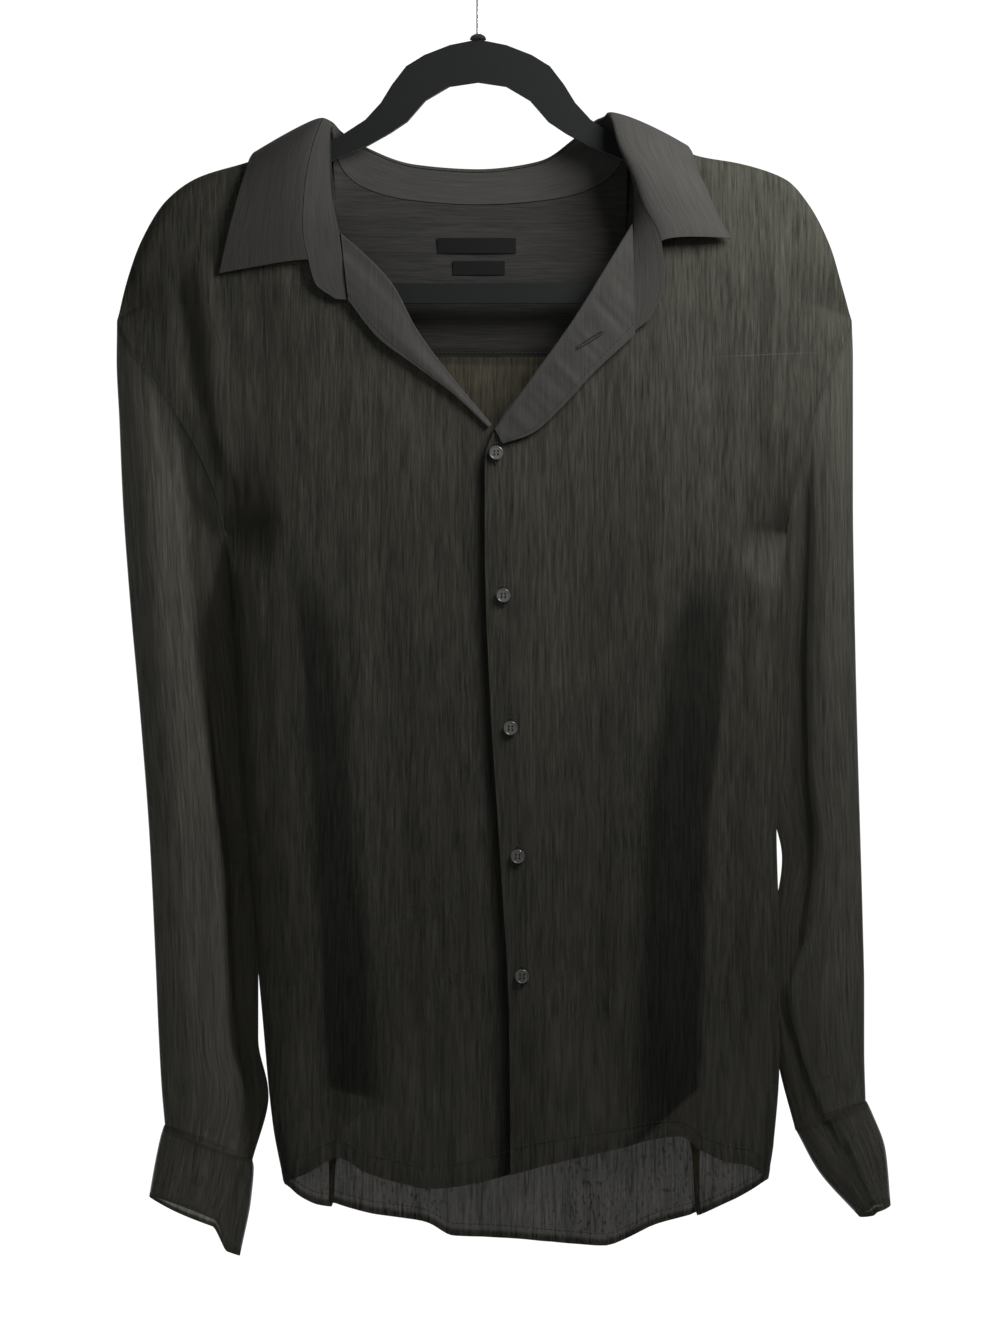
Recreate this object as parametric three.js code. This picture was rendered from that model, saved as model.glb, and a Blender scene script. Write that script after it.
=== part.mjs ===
// A long-sleeved button-front shirt hanging on a slim hanger, in millimetres.
// X runs to the right as seen from the front, Y away from the viewer, Z up.
// The origin is the inside top of the hanger's hook, where a rail carries it.
// "Right" and "left" in names are the wearer's own sides, so right is at -X.
import * as THREE from 'three';

// Driving dimensions
const clothWall = 1.0;
const cuffWall = 1.6;
const seamGap = 0.4;
const armholeDepth = 15;
const rollBulge = 4.5;
const leafSeamGap = 1.2;
const labelWall = 1.0;
const buttonRadius = 5;
const buttonThickness = 2;
const hangerThickness = 5;
const hookWire = 1.4;
const hookLoopRadius = 19;
const hookBendRadius = 8.5;

// Half depth of the body: at the shoulder fold, further down, and how fast each grows
const bodyDepth = { top: 6, gain: 16, reach: 80, rounding: 9, armholeReach: 45 };
// How far the front's and the back's cloth take to round out from the side fold
const sideRounding = { front: 24, back: 38, lean: 8, leanReach: 70 };
// How front and back part where the sleeve joins them under the arm
const underarm = { z: -423, ease: 0.8, reach: 12 };
// How far the top front stands off the under one: near its edge, and from which height
const frontLap = { lift: 4.2, flat: 8, reach: 60, top: -150, topReach: 120 };

const cloth = new THREE.MeshStandardMaterial({ color: 0x2e2d29, roughness: 0.85, metalness: 0 });
const velvet = new THREE.MeshStandardMaterial({ color: 0x1b1b1a, roughness: 1, metalness: 0 });
const wireMetal = new THREE.MeshStandardMaterial({ color: 0xb9bbbd, roughness: 0.25, metalness: 1 });
const buttonPlastic = new THREE.MeshStandardMaterial({ color: 0x242322, roughness: 0.35, metalness: 0 });
const labelSatin = new THREE.MeshStandardMaterial({ color: 0x151515, roughness: 0.5, metalness: 0 });

// Shoulder folds, from the neck point out to the top of the armhole
const shoulderFold = {
  right: [
    { t: 0, x: -104, z: -136.5 }, { t: 0.14, x: -126, z: -144 }, { t: 0.35, x: -161, z: -159 },
    { t: 0.56, x: -199, z: -171 }, { t: 0.70, x: -221, z: -187 }, { t: 0.84, x: -239, z: -216 },
    { t: 0.93, x: -249, z: -244 }, { t: 1, x: -256, z: -272 },
  ],
  left: [
    { t: 0, x: 107, z: -136.5 }, { t: 0.14, x: 130, z: -145 }, { t: 0.30, x: 158, z: -156 },
    { t: 0.45, x: 186, z: -161 }, { t: 0.62, x: 218, z: -172 }, { t: 0.73, x: 234, z: -189 },
    { t: 0.86, x: 250, z: -220 }, { t: 0.94, x: 258, z: -247 }, { t: 1, x: 265, z: -272 },
  ],
};

// Armhole seams, from the top of the shoulder down to the underarm
const armhole = {
  right: [
    { t: 0, x: -256, z: -272 }, { t: 0.14, x: -247, z: -289 }, { t: 0.32, x: -232, z: -310 },
    { t: 0.48, x: -217, z: -333 }, { t: 0.66, x: -200, z: -362 }, { t: 0.83, x: -187, z: -392 },
    { t: 1, x: -179, z: -423 },
  ],
  left: [
    { t: 0, x: 265, z: -272 }, { t: 0.14, x: 258, z: -291 }, { t: 0.32, x: 247, z: -314 },
    { t: 0.48, x: 238, z: -338 }, { t: 0.66, x: 230, z: -366 }, { t: 0.83, x: 223, z: -394 },
    { t: 1, x: 219, z: -423 },
  ],
};

// Side folds, from the underarm down to the hem
const sideFold = {
  right: [
    { t: 0, x: -179, z: -423 }, { t: 0.07, x: -176.5, z: -455 }, { t: 0.16, x: -173, z: -494 },
    { t: 0.31, x: -169, z: -565 }, { t: 0.56, x: -160, z: -679 }, { t: 0.73, x: -153, z: -757 },
    { t: 0.91, x: -145, z: -840 }, { t: 1, x: -137, z: -882 },
  ],
  left: [
    { t: 0, x: 219, z: -423 }, { t: 0.07, x: 217.5, z: -455 }, { t: 0.2, x: 214, z: -515 },
    { t: 0.31, x: 212, z: -565 }, { t: 0.45, x: 211, z: -632 }, { t: 0.63, x: 213, z: -712 },
    { t: 0.82, x: 213, z: -797 }, { t: 0.94, x: 209, z: -854 }, { t: 1, x: 205, z: -880 },
  ],
};

// Neckline and centre edge of each front, from the neck point down to the hem
const frontEdge = {
  right: [
    { t: 0, x: -104, z: -136.5 }, { t: 0.05, x: -104, z: -152 }, { t: 0.1, x: -102, z: -176 },
    { t: 0.16, x: -97, z: -212 }, { t: 0.2, x: -79, z: -229 }, { t: 0.24, x: -60, z: -250 },
    { t: 0.28, x: -44, z: -280 }, { t: 0.32, x: -24, z: -308 }, { t: 0.36, x: 6, z: -345 },
    { t: 0.4, x: 27, z: -368 }, { t: 0.44, x: 31, z: -392 }, { t: 0.52, x: 30, z: -455 },
    { t: 0.65, x: 33, z: -555 }, { t: 0.78, x: 41, z: -665 }, { t: 0.9, x: 47, z: -775 },
    { t: 1, x: 48, z: -869 },
  ],
  left: [
    { t: 0, x: 107, z: -136.5 }, { t: 0.05, x: 109, z: -150 }, { t: 0.1, x: 110, z: -168 },
    { t: 0.15, x: 111, z: -186 }, { t: 0.2, x: 109, z: -206 }, { t: 0.25, x: 91, z: -236 },
    { t: 0.3, x: 67, z: -275 }, { t: 0.35, x: 40, z: -313 }, { t: 0.4, x: 12, z: -351 },
    { t: 0.44, x: 5, z: -374 }, { t: 0.52, x: 5, z: -437 }, { t: 0.65, x: 9, z: -546 },
    { t: 0.78, x: 16, z: -655 }, { t: 0.9, x: 22, z: -768 }, { t: 1, x: 23, z: -874 },
  ],
};

// Hems, height against x
const frontHem = [
  { t: -137, z: -882 }, { t: -118, z: -873 }, { t: -98, z: -863 }, { t: -80, z: -873 },
  { t: -58, z: -880 }, { t: -33, z: -885 }, { t: -6, z: -882 }, { t: 22, z: -875 },
  { t: 48, z: -868 }, { t: 102, z: -856 }, { t: 124, z: -850 }, { t: 142, z: -848 },
  { t: 157, z: -858 }, { t: 175, z: -866 }, { t: 191, z: -869 }, { t: 205, z: -880 },
];
const backHem = [
  { t: -137, z: -884 }, { t: -117, z: -898 }, { t: -99, z: -902 }, { t: -79, z: -909 },
  { t: -41, z: -915 }, { t: -16, z: -926 }, { t: 13, z: -927 }, { t: 50, z: -930 },
  { t: 93, z: -933 }, { t: 107, z: -930 }, { t: 120, z: -920 }, { t: 147, z: -912 },
  { t: 178, z: -897 }, { t: 205, z: -881 },
];

// Back neck seam of the yoke, from the right neck point round to the left one
const backNeck = [
  { t: 0, x: -104, y: 0.2, z: -136.5 }, { t: 0.04, x: -103, y: 6, z: -143 },
  { t: 0.1, x: -100, y: 11, z: -158 }, { t: 0.2, x: -85, y: 16, z: -174 },
  { t: 0.34, x: -50, y: 20, z: -184 }, { t: 0.5, x: 0, y: 22, z: -187 },
  { t: 0.66, x: 50, y: 20, z: -184 }, { t: 0.8, x: 84, y: 16, z: -175 },
  { t: 0.9, x: 102, y: 11, z: -159 }, { t: 0.96, x: 106, y: 6, z: -143 },
  { t: 1, x: 107, y: 0.2, z: -136.5 },
];

// Long folds of the back: x of their edges against height, where they start and are full
const backFolds = {
  right: {
    inner: [
      { t: -830, x: -70 }, { t: -739, x: -73 }, { t: -630, x: -87 }, { t: -521, x: -95 },
      { t: -425, x: -112 },
    ],
    outer: [
      { t: -830, x: -106 }, { t: -739, x: -111 }, { t: -630, x: -118 }, { t: -521, x: -123 },
      { t: -425, x: -136 },
    ],
    start: -390,
    full: -660,
    rise: 80,
  },
  left: {
    inner: [
      { t: -830, x: 114 }, { t: -684, x: 115 }, { t: -576, x: 123 }, { t: -466, x: 142 },
      { t: -400, x: 160 },
    ],
    outer: [
      { t: -830, x: 158 }, { t: -684, x: 161 }, { t: -576, x: 170 }, { t: -466, x: 180 },
      { t: -400, x: 190 },
    ],
    start: -370,
    full: -640,
    rise: 78,
  },
};
const foldSpacing = 7;
// The layers part over this height before the folds close
const foldParting = { above: -30, reach: 80 };

// Hand-placed soft folds of the fronts: where they run, how wide and how deep
const frontFolds = [
  { x0: -196, z0: -215, x1: -176, z1: -400, width: 9, depth: 3.4 },
  { x0: -214, z0: -235, x1: -196, z1: -350, width: 7, depth: -2.6 },
  { x0: -128, z0: -300, x1: -112, z1: -800, width: 26, depth: 3.2 },
  { x0: -58, z0: -470, x1: -52, z1: -850, width: 18, depth: -2.6 },
  { x0: 74, z0: -400, x1: 66, z1: -820, width: 20, depth: -2.4 },
  { x0: 132, z0: -250, x1: 126, z1: -860, width: 24, depth: 3 },
  { x0: 186, z0: -420, x1: 178, z1: -850, width: 12, depth: -2.8 },
  { x0: 212, z0: -205, x1: 206, z1: -390, width: 8, depth: 3.2 },
];

// Sleeves: outer and inner edge of each ring, its fold and its depths.
// fold is where the lit outer part ends, recess how far the inner part drops back.
const sleeveRings = {
  right: [
    { t: 0, ox: -257, oz: -272.8, ix: -180.7, iz: -423.2, fold: 0.55, recess: 0, set: 0, half: 15 },
    { t: 0.05, ox: -256.4, oz: -300, ix: -180, iz: -434, fold: 0.55, recess: 0.15, set: 3, half: 16 },
    { t: 0.12, ox: -254.5, oz: -342, ix: -177, iz: -455, fold: 0.55, recess: 0.4, set: 8, half: 18 },
    { t: 0.22, ox: -252, oz: -400, ix: -171, iz: -490, fold: 0.55, recess: 0.6, set: 11, half: 19 },
    { t: 0.36, ox: -247, oz: -470, ix: -165, iz: -545, fold: 0.57, recess: 0.75, set: 12, half: 19 },
    { t: 0.5, ox: -239, oz: -560, ix: -160, iz: -610, fold: 0.62, recess: 0.8, set: 12, half: 18 },
    { t: 0.63, ox: -233, oz: -640, ix: -156, iz: -670, fold: 0.68, recess: 0.8, set: 12, half: 17 },
    { t: 0.76, ox: -229, oz: -722, ix: -157, iz: -732, fold: 0.72, recess: 0.8, set: 11, half: 16 },
    { t: 0.85, ox: -226.5, oz: -780, ix: -157, iz: -783, fold: 0.74, recess: 0.75, set: 10, half: 15 },
    { t: 0.93, ox: -224.5, oz: -816, ix: -149.5, iz: -824, fold: 0.8, recess: 0.6, set: 8, half: 14 },
    { t: 1, ox: -222, oz: -843, ix: -161, iz: -868, fold: 0.85, recess: 0.3, set: 4, half: 13 },
  ],
  left: [
    { t: 0, ox: 266.1, oz: -272.8, ix: 220.7, iz: -423.2, fold: 0.55, recess: 0, set: 0, half: 15 },
    { t: 0.05, ox: 266, oz: -300, ix: 220, iz: -434, fold: 0.55, recess: 0.15, set: 3, half: 16 },
    { t: 0.12, ox: 266, oz: -342, ix: 217, iz: -455, fold: 0.55, recess: 0.4, set: 8, half: 18 },
    { t: 0.22, ox: 266, oz: -400, ix: 212, iz: -490, fold: 0.57, recess: 0.6, set: 11, half: 19 },
    { t: 0.36, ox: 267, oz: -470, ix: 208, iz: -545, fold: 0.57, recess: 0.8, set: 12, half: 19 },
    { t: 0.5, ox: 269, oz: -560, ix: 207, iz: -605, fold: 0.56, recess: 0.8, set: 12, half: 18 },
    { t: 0.63, ox: 271, oz: -630, ix: 217, iz: -655, fold: 0.6, recess: 0.8, set: 11, half: 17 },
    { t: 0.76, ox: 273, oz: -700, ix: 209, iz: -714, fold: 0.64, recess: 0.75, set: 12, half: 16 },
    { t: 0.85, ox: 274, oz: -748, ix: 208, iz: -757, fold: 0.82, recess: 0.6, set: 12, half: 15 },
    { t: 0.93, ox: 274, oz: -790, ix: 214, iz: -800, fold: 0.74, recess: 0.4, set: 8, half: 14 },
    { t: 1, ox: 275, oz: -826, ix: 226, iz: -846, fold: 0.6, recess: 0.2, set: 4, half: 13 },
  ],
};

// Cuffs, from the sleeve's end down to the open edge; drop lowers the inner part
const cuffRings = {
  right: [
    { t: 0, ox: -222.3, oz: -843.5, ix: -161, iz: -868.7,
      fold: 0.85, recess: 0.3, set: 4, half: 13, drop: 0 },
    { t: 0.1, ox: -224.5, oz: -850, ix: -160, iz: -874, fold: 0.8, recess: 0.3, set: 4, half: 13, drop: 0 },
    { t: 0.5, ox: -229, oz: -871, ix: -162, iz: -893, fold: 0.77, recess: 0.35, set: 5, half: 14, drop: 4 },
    { t: 1, ox: -233, oz: -894, ix: -170, iz: -922, fold: 0.76, recess: 0.4, set: 6, half: 14, drop: 15 },
  ],
  left: [
    { t: 0, ox: 275.3, oz: -826.5, ix: 226.3, iz: -846.7, fold: 0.6, recess: 0.2, set: 4, half: 13, drop: 0 },
    { t: 0.1, ox: 279, oz: -834, ix: 229, iz: -852, fold: 0.56, recess: 0.2, set: 3, half: 13, drop: 0 },
    { t: 0.5, ox: 289, oz: -862, ix: 243, iz: -877, fold: 0.5, recess: 0.2, set: 2, half: 14, drop: 0 },
    { t: 1, ox: 292.5, oz: -900, ix: 271, iz: -906, fold: 0.5, recess: 0.1, set: 0, half: 13, drop: 2 },
  ],
};

// Collar stations from the right front end round the back to the left front end.
// n is the neck seam, s the seam of stand and leaf, e the leaf's free edge.
// roll is how far the leaf keeps the stand's direction before it turns over.
const collarStations = [
  { t: 0, nx: -92.5, ny: -22, nz: -260, sx: -100, sy: -22.6, sz: -259.5, ex: 0, ey: 0, ez: 0, roll: 0 },
  { t: 0.025, nx: -93.2, ny: -21, nz: -249, sx: -114, sy: -23, sz: -249, ex: 0, ey: 0, ez: 0, roll: 0 },
  { t: 0.055, nx: -94.6, ny: -20, nz: -236, sx: -119, sy: -23,
    sz: -232, ex: -182, ey: -18.5, ez: -241, roll: 4 },
  { t: 0.12, nx: -98, ny: -18.8, nz: -211, sx: -123, sy: -22.5,
    sz: -208, ex: -176, ey: -18.5, ez: -214, roll: 4 },
  { t: 0.18, nx: -103, ny: -15.4, nz: -186, sx: -122, sy: -20.5,
    sz: -182, ex: -169, ey: -16, ez: -186, roll: 5 },
  { t: 0.22, nx: -105, ny: -12.6, nz: -163, sx: -118, sy: -17,
    sz: -157, ex: -164.5, ey: -12, ez: -170, roll: 6 },
  { t: 0.255, nx: -105, ny: -10, nz: -143, sx: -113, sy: -12, sz: -139, ex: -161, ey: -5, ez: -157, roll: 5 },
  { t: 0.28, nx: -103.5, ny: -1, nz: -134, sx: -109, sy: -2, sz: -129.5, ex: -157, ey: 3, ez: -152, roll: 3 },
  { t: 0.305, nx: -103.4, ny: 6.4, nz: -142, sx: -104, sy: 7, sz: -131, ex: -149, ey: 12, ez: -158, roll: 4 },
  { t: 0.33, nx: -100, ny: 11.2, nz: -157.2, sx: -97, sy: 12.4,
    sz: -138, ex: -136, ey: 20, ez: -174, roll: 6 },
  { t: 0.38, nx: -85, ny: 16.2, nz: -173.3, sx: -77, sy: 18, sz: -150, ex: -106, ey: 27, ez: -199, roll: 8 },
  { t: 0.44, nx: -50, ny: 20.2, nz: -183.4, sx: -44, sy: 22.4,
    sz: -160.5, ex: -58, ey: 31, ez: -210, roll: 8 },
  { t: 0.5, nx: 0, ny: 22.1, nz: -186.5, sx: 0, sy: 24, sz: -163.5, ex: 0, ey: 33, ez: -213, roll: 8 },
  { t: 0.56, nx: 50, ny: 20.2, nz: -183.4, sx: 43, sy: 22.4, sz: -158, ex: 60, ey: 31, ez: -208, roll: 8 },
  { t: 0.62, nx: 84, ny: 16.2, nz: -174.3, sx: 68, sy: 18, sz: -143, ex: 108, ey: 27, ez: -194, roll: 8 },
  { t: 0.67, nx: 102, ny: 11.2, nz: -158.2, sx: 85, sy: 11, sz: -130, ex: 134, ey: 20, ez: -170, roll: 7 },
  { t: 0.695, nx: 106.2, ny: 6.4, nz: -142, sx: 90, sy: 5, sz: -129, ex: 141, ey: 11, ez: -154, roll: 6 },
  { t: 0.72, nx: 106.7, ny: -1, nz: -134, sx: 93, sy: -4, sz: -127.5, ex: 147, ey: 2, ez: -147.5, roll: 6 },
  { t: 0.745, nx: 109.5, ny: -10, nz: -143, sx: 96, sy: -13, sz: -135, ex: 151, ey: -6, ez: -153, roll: 7 },
  { t: 0.775, nx: 111, ny: -12.6, nz: -159, sx: 99, sy: -19,
    sz: -150, ex: 155, ey: -12.5, ez: -167, roll: 7 },
  { t: 0.82, nx: 113, ny: -15.6, nz: -178, sx: 107, sy: -25, sz: -170, ex: 161, ey: -16, ez: -181, roll: 7 },
  { t: 0.88, nx: 112.6, ny: -18.8, nz: -203, sx: 116, sy: -28,
    sz: -194, ex: 169, ey: -18.5, ez: -200, roll: 6 },
  { t: 0.945, nx: 111.6, ny: -21.4, nz: -234, sx: 128.5, sy: -29,
    sz: -220, ex: 178, ey: -20, ez: -216.5, roll: 5 },
  { t: 0.975, nx: 112, ny: -23, nz: -258, sx: 131, sy: -27, sz: -250, ex: 0, ey: 0, ez: 0, roll: 0 },
  { t: 1, nx: 112.8, ny: -23.6, nz: -282, sx: 121, sy: -25, sz: -274, ex: 0, ey: 0, ez: 0, roll: 0 },
];

// Stations of the leaf, and the share of the back neck where a station lies
const leafSteps = [
  0.055, 0.085, 0.12, 0.15, 0.18, 0.21, 0.235, 0.26, 0.28, 0.305, 0.33, 0.355, 0.38, 0.41, 0.44,
  0.5, 0.56, 0.59, 0.62, 0.645, 0.67, 0.695, 0.72, 0.745, 0.765, 0.79, 0.82, 0.85, 0.88, 0.915,
  0.945,
];
const backStations = { from: 0.28, to: 0.72 };
const neckShare = (t) => (t - backStations.from) / (backStations.to - backStations.from);

// Turned-out front bands: roll line, outer edge and the edge that meets the stand
const turnedBands = {
  right: {
    roll: [
      { t: 0, x: -96.5, z: -214 }, { t: 0.18, x: -79, z: -229.5 }, { t: 0.36, x: -60, z: -250.5 },
      { t: 0.55, x: -44, z: -280.5 }, { t: 0.74, x: -24, z: -308.5 }, { t: 1, x: 9, z: -348.5 },
    ],
    outer: [
      { t: 0, x: -91, z: -260.5 }, { t: 0.3, x: -70, z: -287 }, { t: 0.55, x: -46, z: -305 },
      { t: 0.8, x: -18, z: -326 }, { t: 1, x: 7.5, z: -349.8 },
    ],
    lift: [{ t: 0, y: 3.2 }, { t: 0.6, y: 3.4 }, { t: 1, y: 1.2 }],
  },
  left: {
    roll: [
      { t: 0, x: 109, z: -207 }, { t: 0.22, x: 91, z: -237 }, { t: 0.48, x: 67, z: -276 },
      { t: 0.74, x: 40, z: -314 }, { t: 1, x: 12.5, z: -352 },
    ],
    outer: [
      { t: 0, x: 110.6, z: -284.5 }, { t: 0.2, x: 97, z: -297 }, { t: 0.42, x: 81, z: -312 },
      { t: 0.64, x: 61, z: -334 }, { t: 0.84, x: 37, z: -355 }, { t: 1, x: 17.5, z: -361.5 },
    ],
    lift: [{ t: 0, y: 3.6 }, { t: 0.6, y: 3.4 }, { t: 1, y: 1.6 }],
  },
};

// Where the buttons sit on the front edge
const frontButtons = [
  { x: 13, z: -368 }, { x: 18, z: -468 }, { x: 23, z: -561 }, { x: 28, z: -651 }, { x: 31, z: -735 },
];

const clamp01 = (value) => Math.min(1, Math.max(0, value));
const smooth = (value) => clamp01(value) ** 2 * (3 - 2 * clamp01(value));
const mix = (a, b, share) => a + (b - a) * share;
const quarterRound = (value) => Math.sqrt(1 - (1 - clamp01(value)) ** 2);
const lensShape = (share) => Math.sin(Math.PI * clamp01(share)) ** 0.6;

// Smooth value of one column of a table at t, a cubic between its rows
function valueAt(table, column, t) {
  const last = table.length - 1;
  if (t <= table[0].t) return table[0][column];
  if (t >= table[last].t) return table[last][column];
  let row = 0;
  while (table[row + 1].t < t) row += 1;
  const slope = (i) => (table[i + 1][column] - table[i][column]) / (table[i + 1].t - table[i].t);
  const tangent = (i) => {
    if (i === 0) return slope(0);
    if (i === last) return slope(last - 1);
    return slope(i - 1) * slope(i) <= 0 ? 0 : (2 * slope(i - 1) * slope(i)) / (slope(i - 1) + slope(i));
  };
  const span = table[row + 1].t - table[row].t;
  const s = (t - table[row].t) / span;
  const start = (2 * s ** 3 - 3 * s ** 2 + 1) * table[row][column];
  const end = (3 * s ** 2 - 2 * s ** 3) * table[row + 1][column];
  const turnOut = (s ** 3 - 2 * s ** 2 + s) * span * tangent(row);
  const turnIn = (s ** 3 - s ** 2) * span * tangent(row + 1);
  return start + end + turnOut + turnIn;
}

// Nearest distance from (x, z) to a table's curve, and the t where it is nearest
function nearestOn(table, x, z) {
  const steps = 48;
  let best = { distance: Infinity, t: 0 };
  let from = { x: table[0].x, z: table[0].z };
  for (let step = 1; step <= steps; step += 1) {
    const to = { x: valueAt(table, 'x', step / steps), z: valueAt(table, 'z', step / steps) };
    const run = { x: to.x - from.x, z: to.z - from.z };
    const share = clamp01(((x - from.x) * run.x + (z - from.z) * run.z) / (run.x ** 2 + run.z ** 2));
    const distance = Math.hypot(x - from.x - run.x * share, z - from.z - run.z * share);
    if (distance < best.distance) best = { distance, t: (step - 1 + share) / steps };
    from = to;
  }
  return best;
}

// How far the side fold leans forward below the underarm
const sideLean = (z) => -sideRounding.lean * smooth((underarm.z - z) / sideRounding.leanReach);

// Depth of the soft folds at a place of the fronts
function frontFoldDepth(x, z) {
  let depth = 0;
  for (const fold of frontFolds) {
    const share = (z - fold.z0) / (fold.z1 - fold.z0);
    const middle = mix(fold.x0, fold.x1, clamp01(share));
    const fade = smooth(share / 0.2) * smooth((1 - share) / 0.2);
    depth += fold.depth * fade * Math.exp(-(((x - middle) / fold.width) ** 2));
  }
  return depth;
}

// Half depth of the body at a place of one side: thin over the shoulder, fuller below
function bodyHalfDepth(side, x, z) {
  const below = nearestOn(shoulderFold[side], x, z).distance;
  const full = bodyDepth.top + bodyDepth.gain * (1 - Math.exp(-below / bodyDepth.reach));
  const open = full * quarterRound(below / bodyDepth.rounding);
  const seam = nearestOn(armhole[side], x, z);
  return mix(armholeDepth * lensShape(seam.t), open, smooth(seam.distance / bodyDepth.armholeReach));
}

// How far front and back part at the underarm, where the sleeve joins them
function underarmEase(side, x, z) {
  const under = armhole[side][armhole[side].length - 1];
  return underarm.ease * Math.exp(-((Math.hypot(x - under.x, z - under.z) / underarm.reach) ** 2));
}

// Y of the front's cloth at (x, z)
function frontY(side, x, z) {
  const half = bodyHalfDepth(side, x, z);
  const edge = nearestOn(sideFold[side], x, z).distance;
  const shoulder = nearestOn(shoulderFold[side], x, z).distance;
  const seam = nearestOn(armhole[side], x, z).distance;
  const foldShare = smooth(edge / 30) * smooth(shoulder / 30) * smooth(seam / 20);
  const flat = -half - frontFoldDepth(x, z) * foldShare;
  const open = quarterRound(edge / sideRounding.front);
  return mix(sideLean(z), flat, open) - seamGap / 2 - underarmEase(side, x, z);
}

// Y of the back's cloth at (x, z)
function backY(side, x, z) {
  const half = bodyHalfDepth(side, x, z);
  const edge = nearestOn(sideFold[side], x, z).distance;
  const tight = quarterRound(edge / 3);
  const open = mix(1 - Math.exp(-((edge / sideRounding.back) ** 1.6)), tight, 0.12);
  return mix(sideLean(z), half, open) + seamGap / 2 + underarmEase(side, x, z);
}

// Direction that the armhole seam's edges face at t, on the front (-1) or the back (+1)
function armholeFacing(side, t, facing) {
  const out = side === 'right' ? -1 : 1;
  const top = new THREE.Vector3(out * 0.85, 0, 0.53);
  const under = new THREE.Vector3(0, 0, -1);
  const end = t < 0.5 ? top : under;
  const share = Math.abs(Math.cos(Math.PI * t));
  end.multiplyScalar(share).y += facing * Math.sin(Math.PI * t);
  return end.normalize();
}

// Direction across a table's curve in the X-Z plane, away from the garment's middle
function outwardOf(table, t, out) {
  const step = 0.02;
  const runX = valueAt(table, 'x', t + step) - valueAt(table, 'x', t - step);
  const runZ = valueAt(table, 'z', t + step) - valueAt(table, 'z', t - step);
  const across = new THREE.Vector3(-runZ, 0, runX).normalize();
  return across.x * out < 0 || (Math.abs(across.x) < 0.2 && across.z < 0) ? across.negate() : across;
}

// Closed wall on a grid of points: rows of equal length, each point moved out and in
// by half the wall along its own direction; round rows close on themselves. Each cell is
// cut along its shorter diagonal.
function wallMesh(name, rows, material, { wall = clothWall, round = false, facing = {} } = {}) {
  const rowCount = rows.length;
  const columnCount = rows[0].length;
  const wrap = (j) => (round ? (j + columnCount) % columnCount : Math.min(columnCount - 1, Math.max(0, j)));
  const normalAt = (i, j) => {
    const fixed = facing[`${i},${j}`];
    if (fixed) return fixed;
    const down = rows[Math.min(rowCount - 1, i + 1)][j].clone().sub(rows[Math.max(0, i - 1)][j]);
    const across = rows[i][wrap(j + 1)].clone().sub(rows[i][wrap(j - 1)]);
    return across.cross(down).normalize();
  };
  const positions = [];
  for (const sign of [1, -1]) {
    rows.forEach((row, i) => row.forEach((point, j) => {
      const moved = normalAt(i, j).clone().multiplyScalar((sign * wall) / 2).add(point);
      positions.push(moved.x, moved.y, moved.z);
    }));
  }
  const outer = (i, j) => i * columnCount + wrap(j);
  const inner = (i, j) => rowCount * columnCount + outer(i, j);
  const faces = [];
  const quad = (a, b, c, d) => faces.push(a, b, c, a, c, d);
  const columnSteps = round ? columnCount : columnCount - 1;
  for (let i = 0; i < rowCount - 1; i += 1) {
    for (let j = 0; j < columnSteps; j += 1) {
      const falling = rows[i][wrap(j)].distanceTo(rows[i + 1][wrap(j + 1)]);
      const rising = rows[i][wrap(j + 1)].distanceTo(rows[i + 1][wrap(j)]);
      if (rising < falling) {
        quad(outer(i, j + 1), outer(i + 1, j + 1), outer(i + 1, j), outer(i, j));
        quad(inner(i + 1, j), inner(i + 1, j + 1), inner(i, j + 1), inner(i, j));
      } else {
        quad(outer(i, j), outer(i, j + 1), outer(i + 1, j + 1), outer(i + 1, j));
        quad(inner(i, j), inner(i + 1, j), inner(i + 1, j + 1), inner(i, j + 1));
      }
    }
    if (!round) {
      const end = columnCount - 1;
      quad(outer(i, 0), outer(i + 1, 0), inner(i + 1, 0), inner(i, 0));
      quad(outer(i, end), inner(i, end), inner(i + 1, end), outer(i + 1, end));
    }
  }
  for (let j = 0; j < columnSteps; j += 1) {
    const end = rowCount - 1;
    quad(outer(0, j), inner(0, j), inner(0, j + 1), outer(0, j + 1));
    quad(outer(end, j), outer(end, j + 1), inner(end, j + 1), inner(end, j));
  }
  return closedMesh(name, positions, faces, material);
}

// Mesh of a closed body, with its faces turned outwards whichever way they were wound
function closedMesh(name, positions, faces, material) {
  const corner = (k) => new THREE.Vector3().fromArray(positions, 3 * faces[k]);
  let volume = 0;
  for (let k = 0; k < faces.length; k += 3) volume += corner(k).dot(corner(k + 1).cross(corner(k + 2)));
  if (volume < 0) {
    for (let k = 0; k < faces.length; k += 3) {
      const second = faces[k + 1];
      faces[k + 1] = faces[k + 2];
      faces[k + 2] = second;
    }
  }
  const geometry = new THREE.BufferGeometry();
  geometry.setAttribute('position', new THREE.Float32BufferAttribute(positions, 3));
  geometry.setIndex(faces);
  const mesh = new THREE.Mesh(geometry, material);
  mesh.name = name;
  return mesh;
}

// Share of the rows that lies beside the armhole, above the underarm
const armholeShare = 0.4;
const frontRows = [
  0, 0.03, 0.07, 0.11, 0.16, 0.2, 0.24, 0.28, 0.32, 0.36, 0.4, 0.44, 0.49, 0.55, 0.62, 0.69,
  0.76, 0.83, 0.89, 0.935, 0.97, 1,
];
const frontColumns = [
  0, 0.05, 0.12, 0.21, 0.31, 0.41, 0.51, 0.61, 0.7, 0.78, 0.85, 0.91, 0.95, 0.978, 0.993, 1,
];

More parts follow.
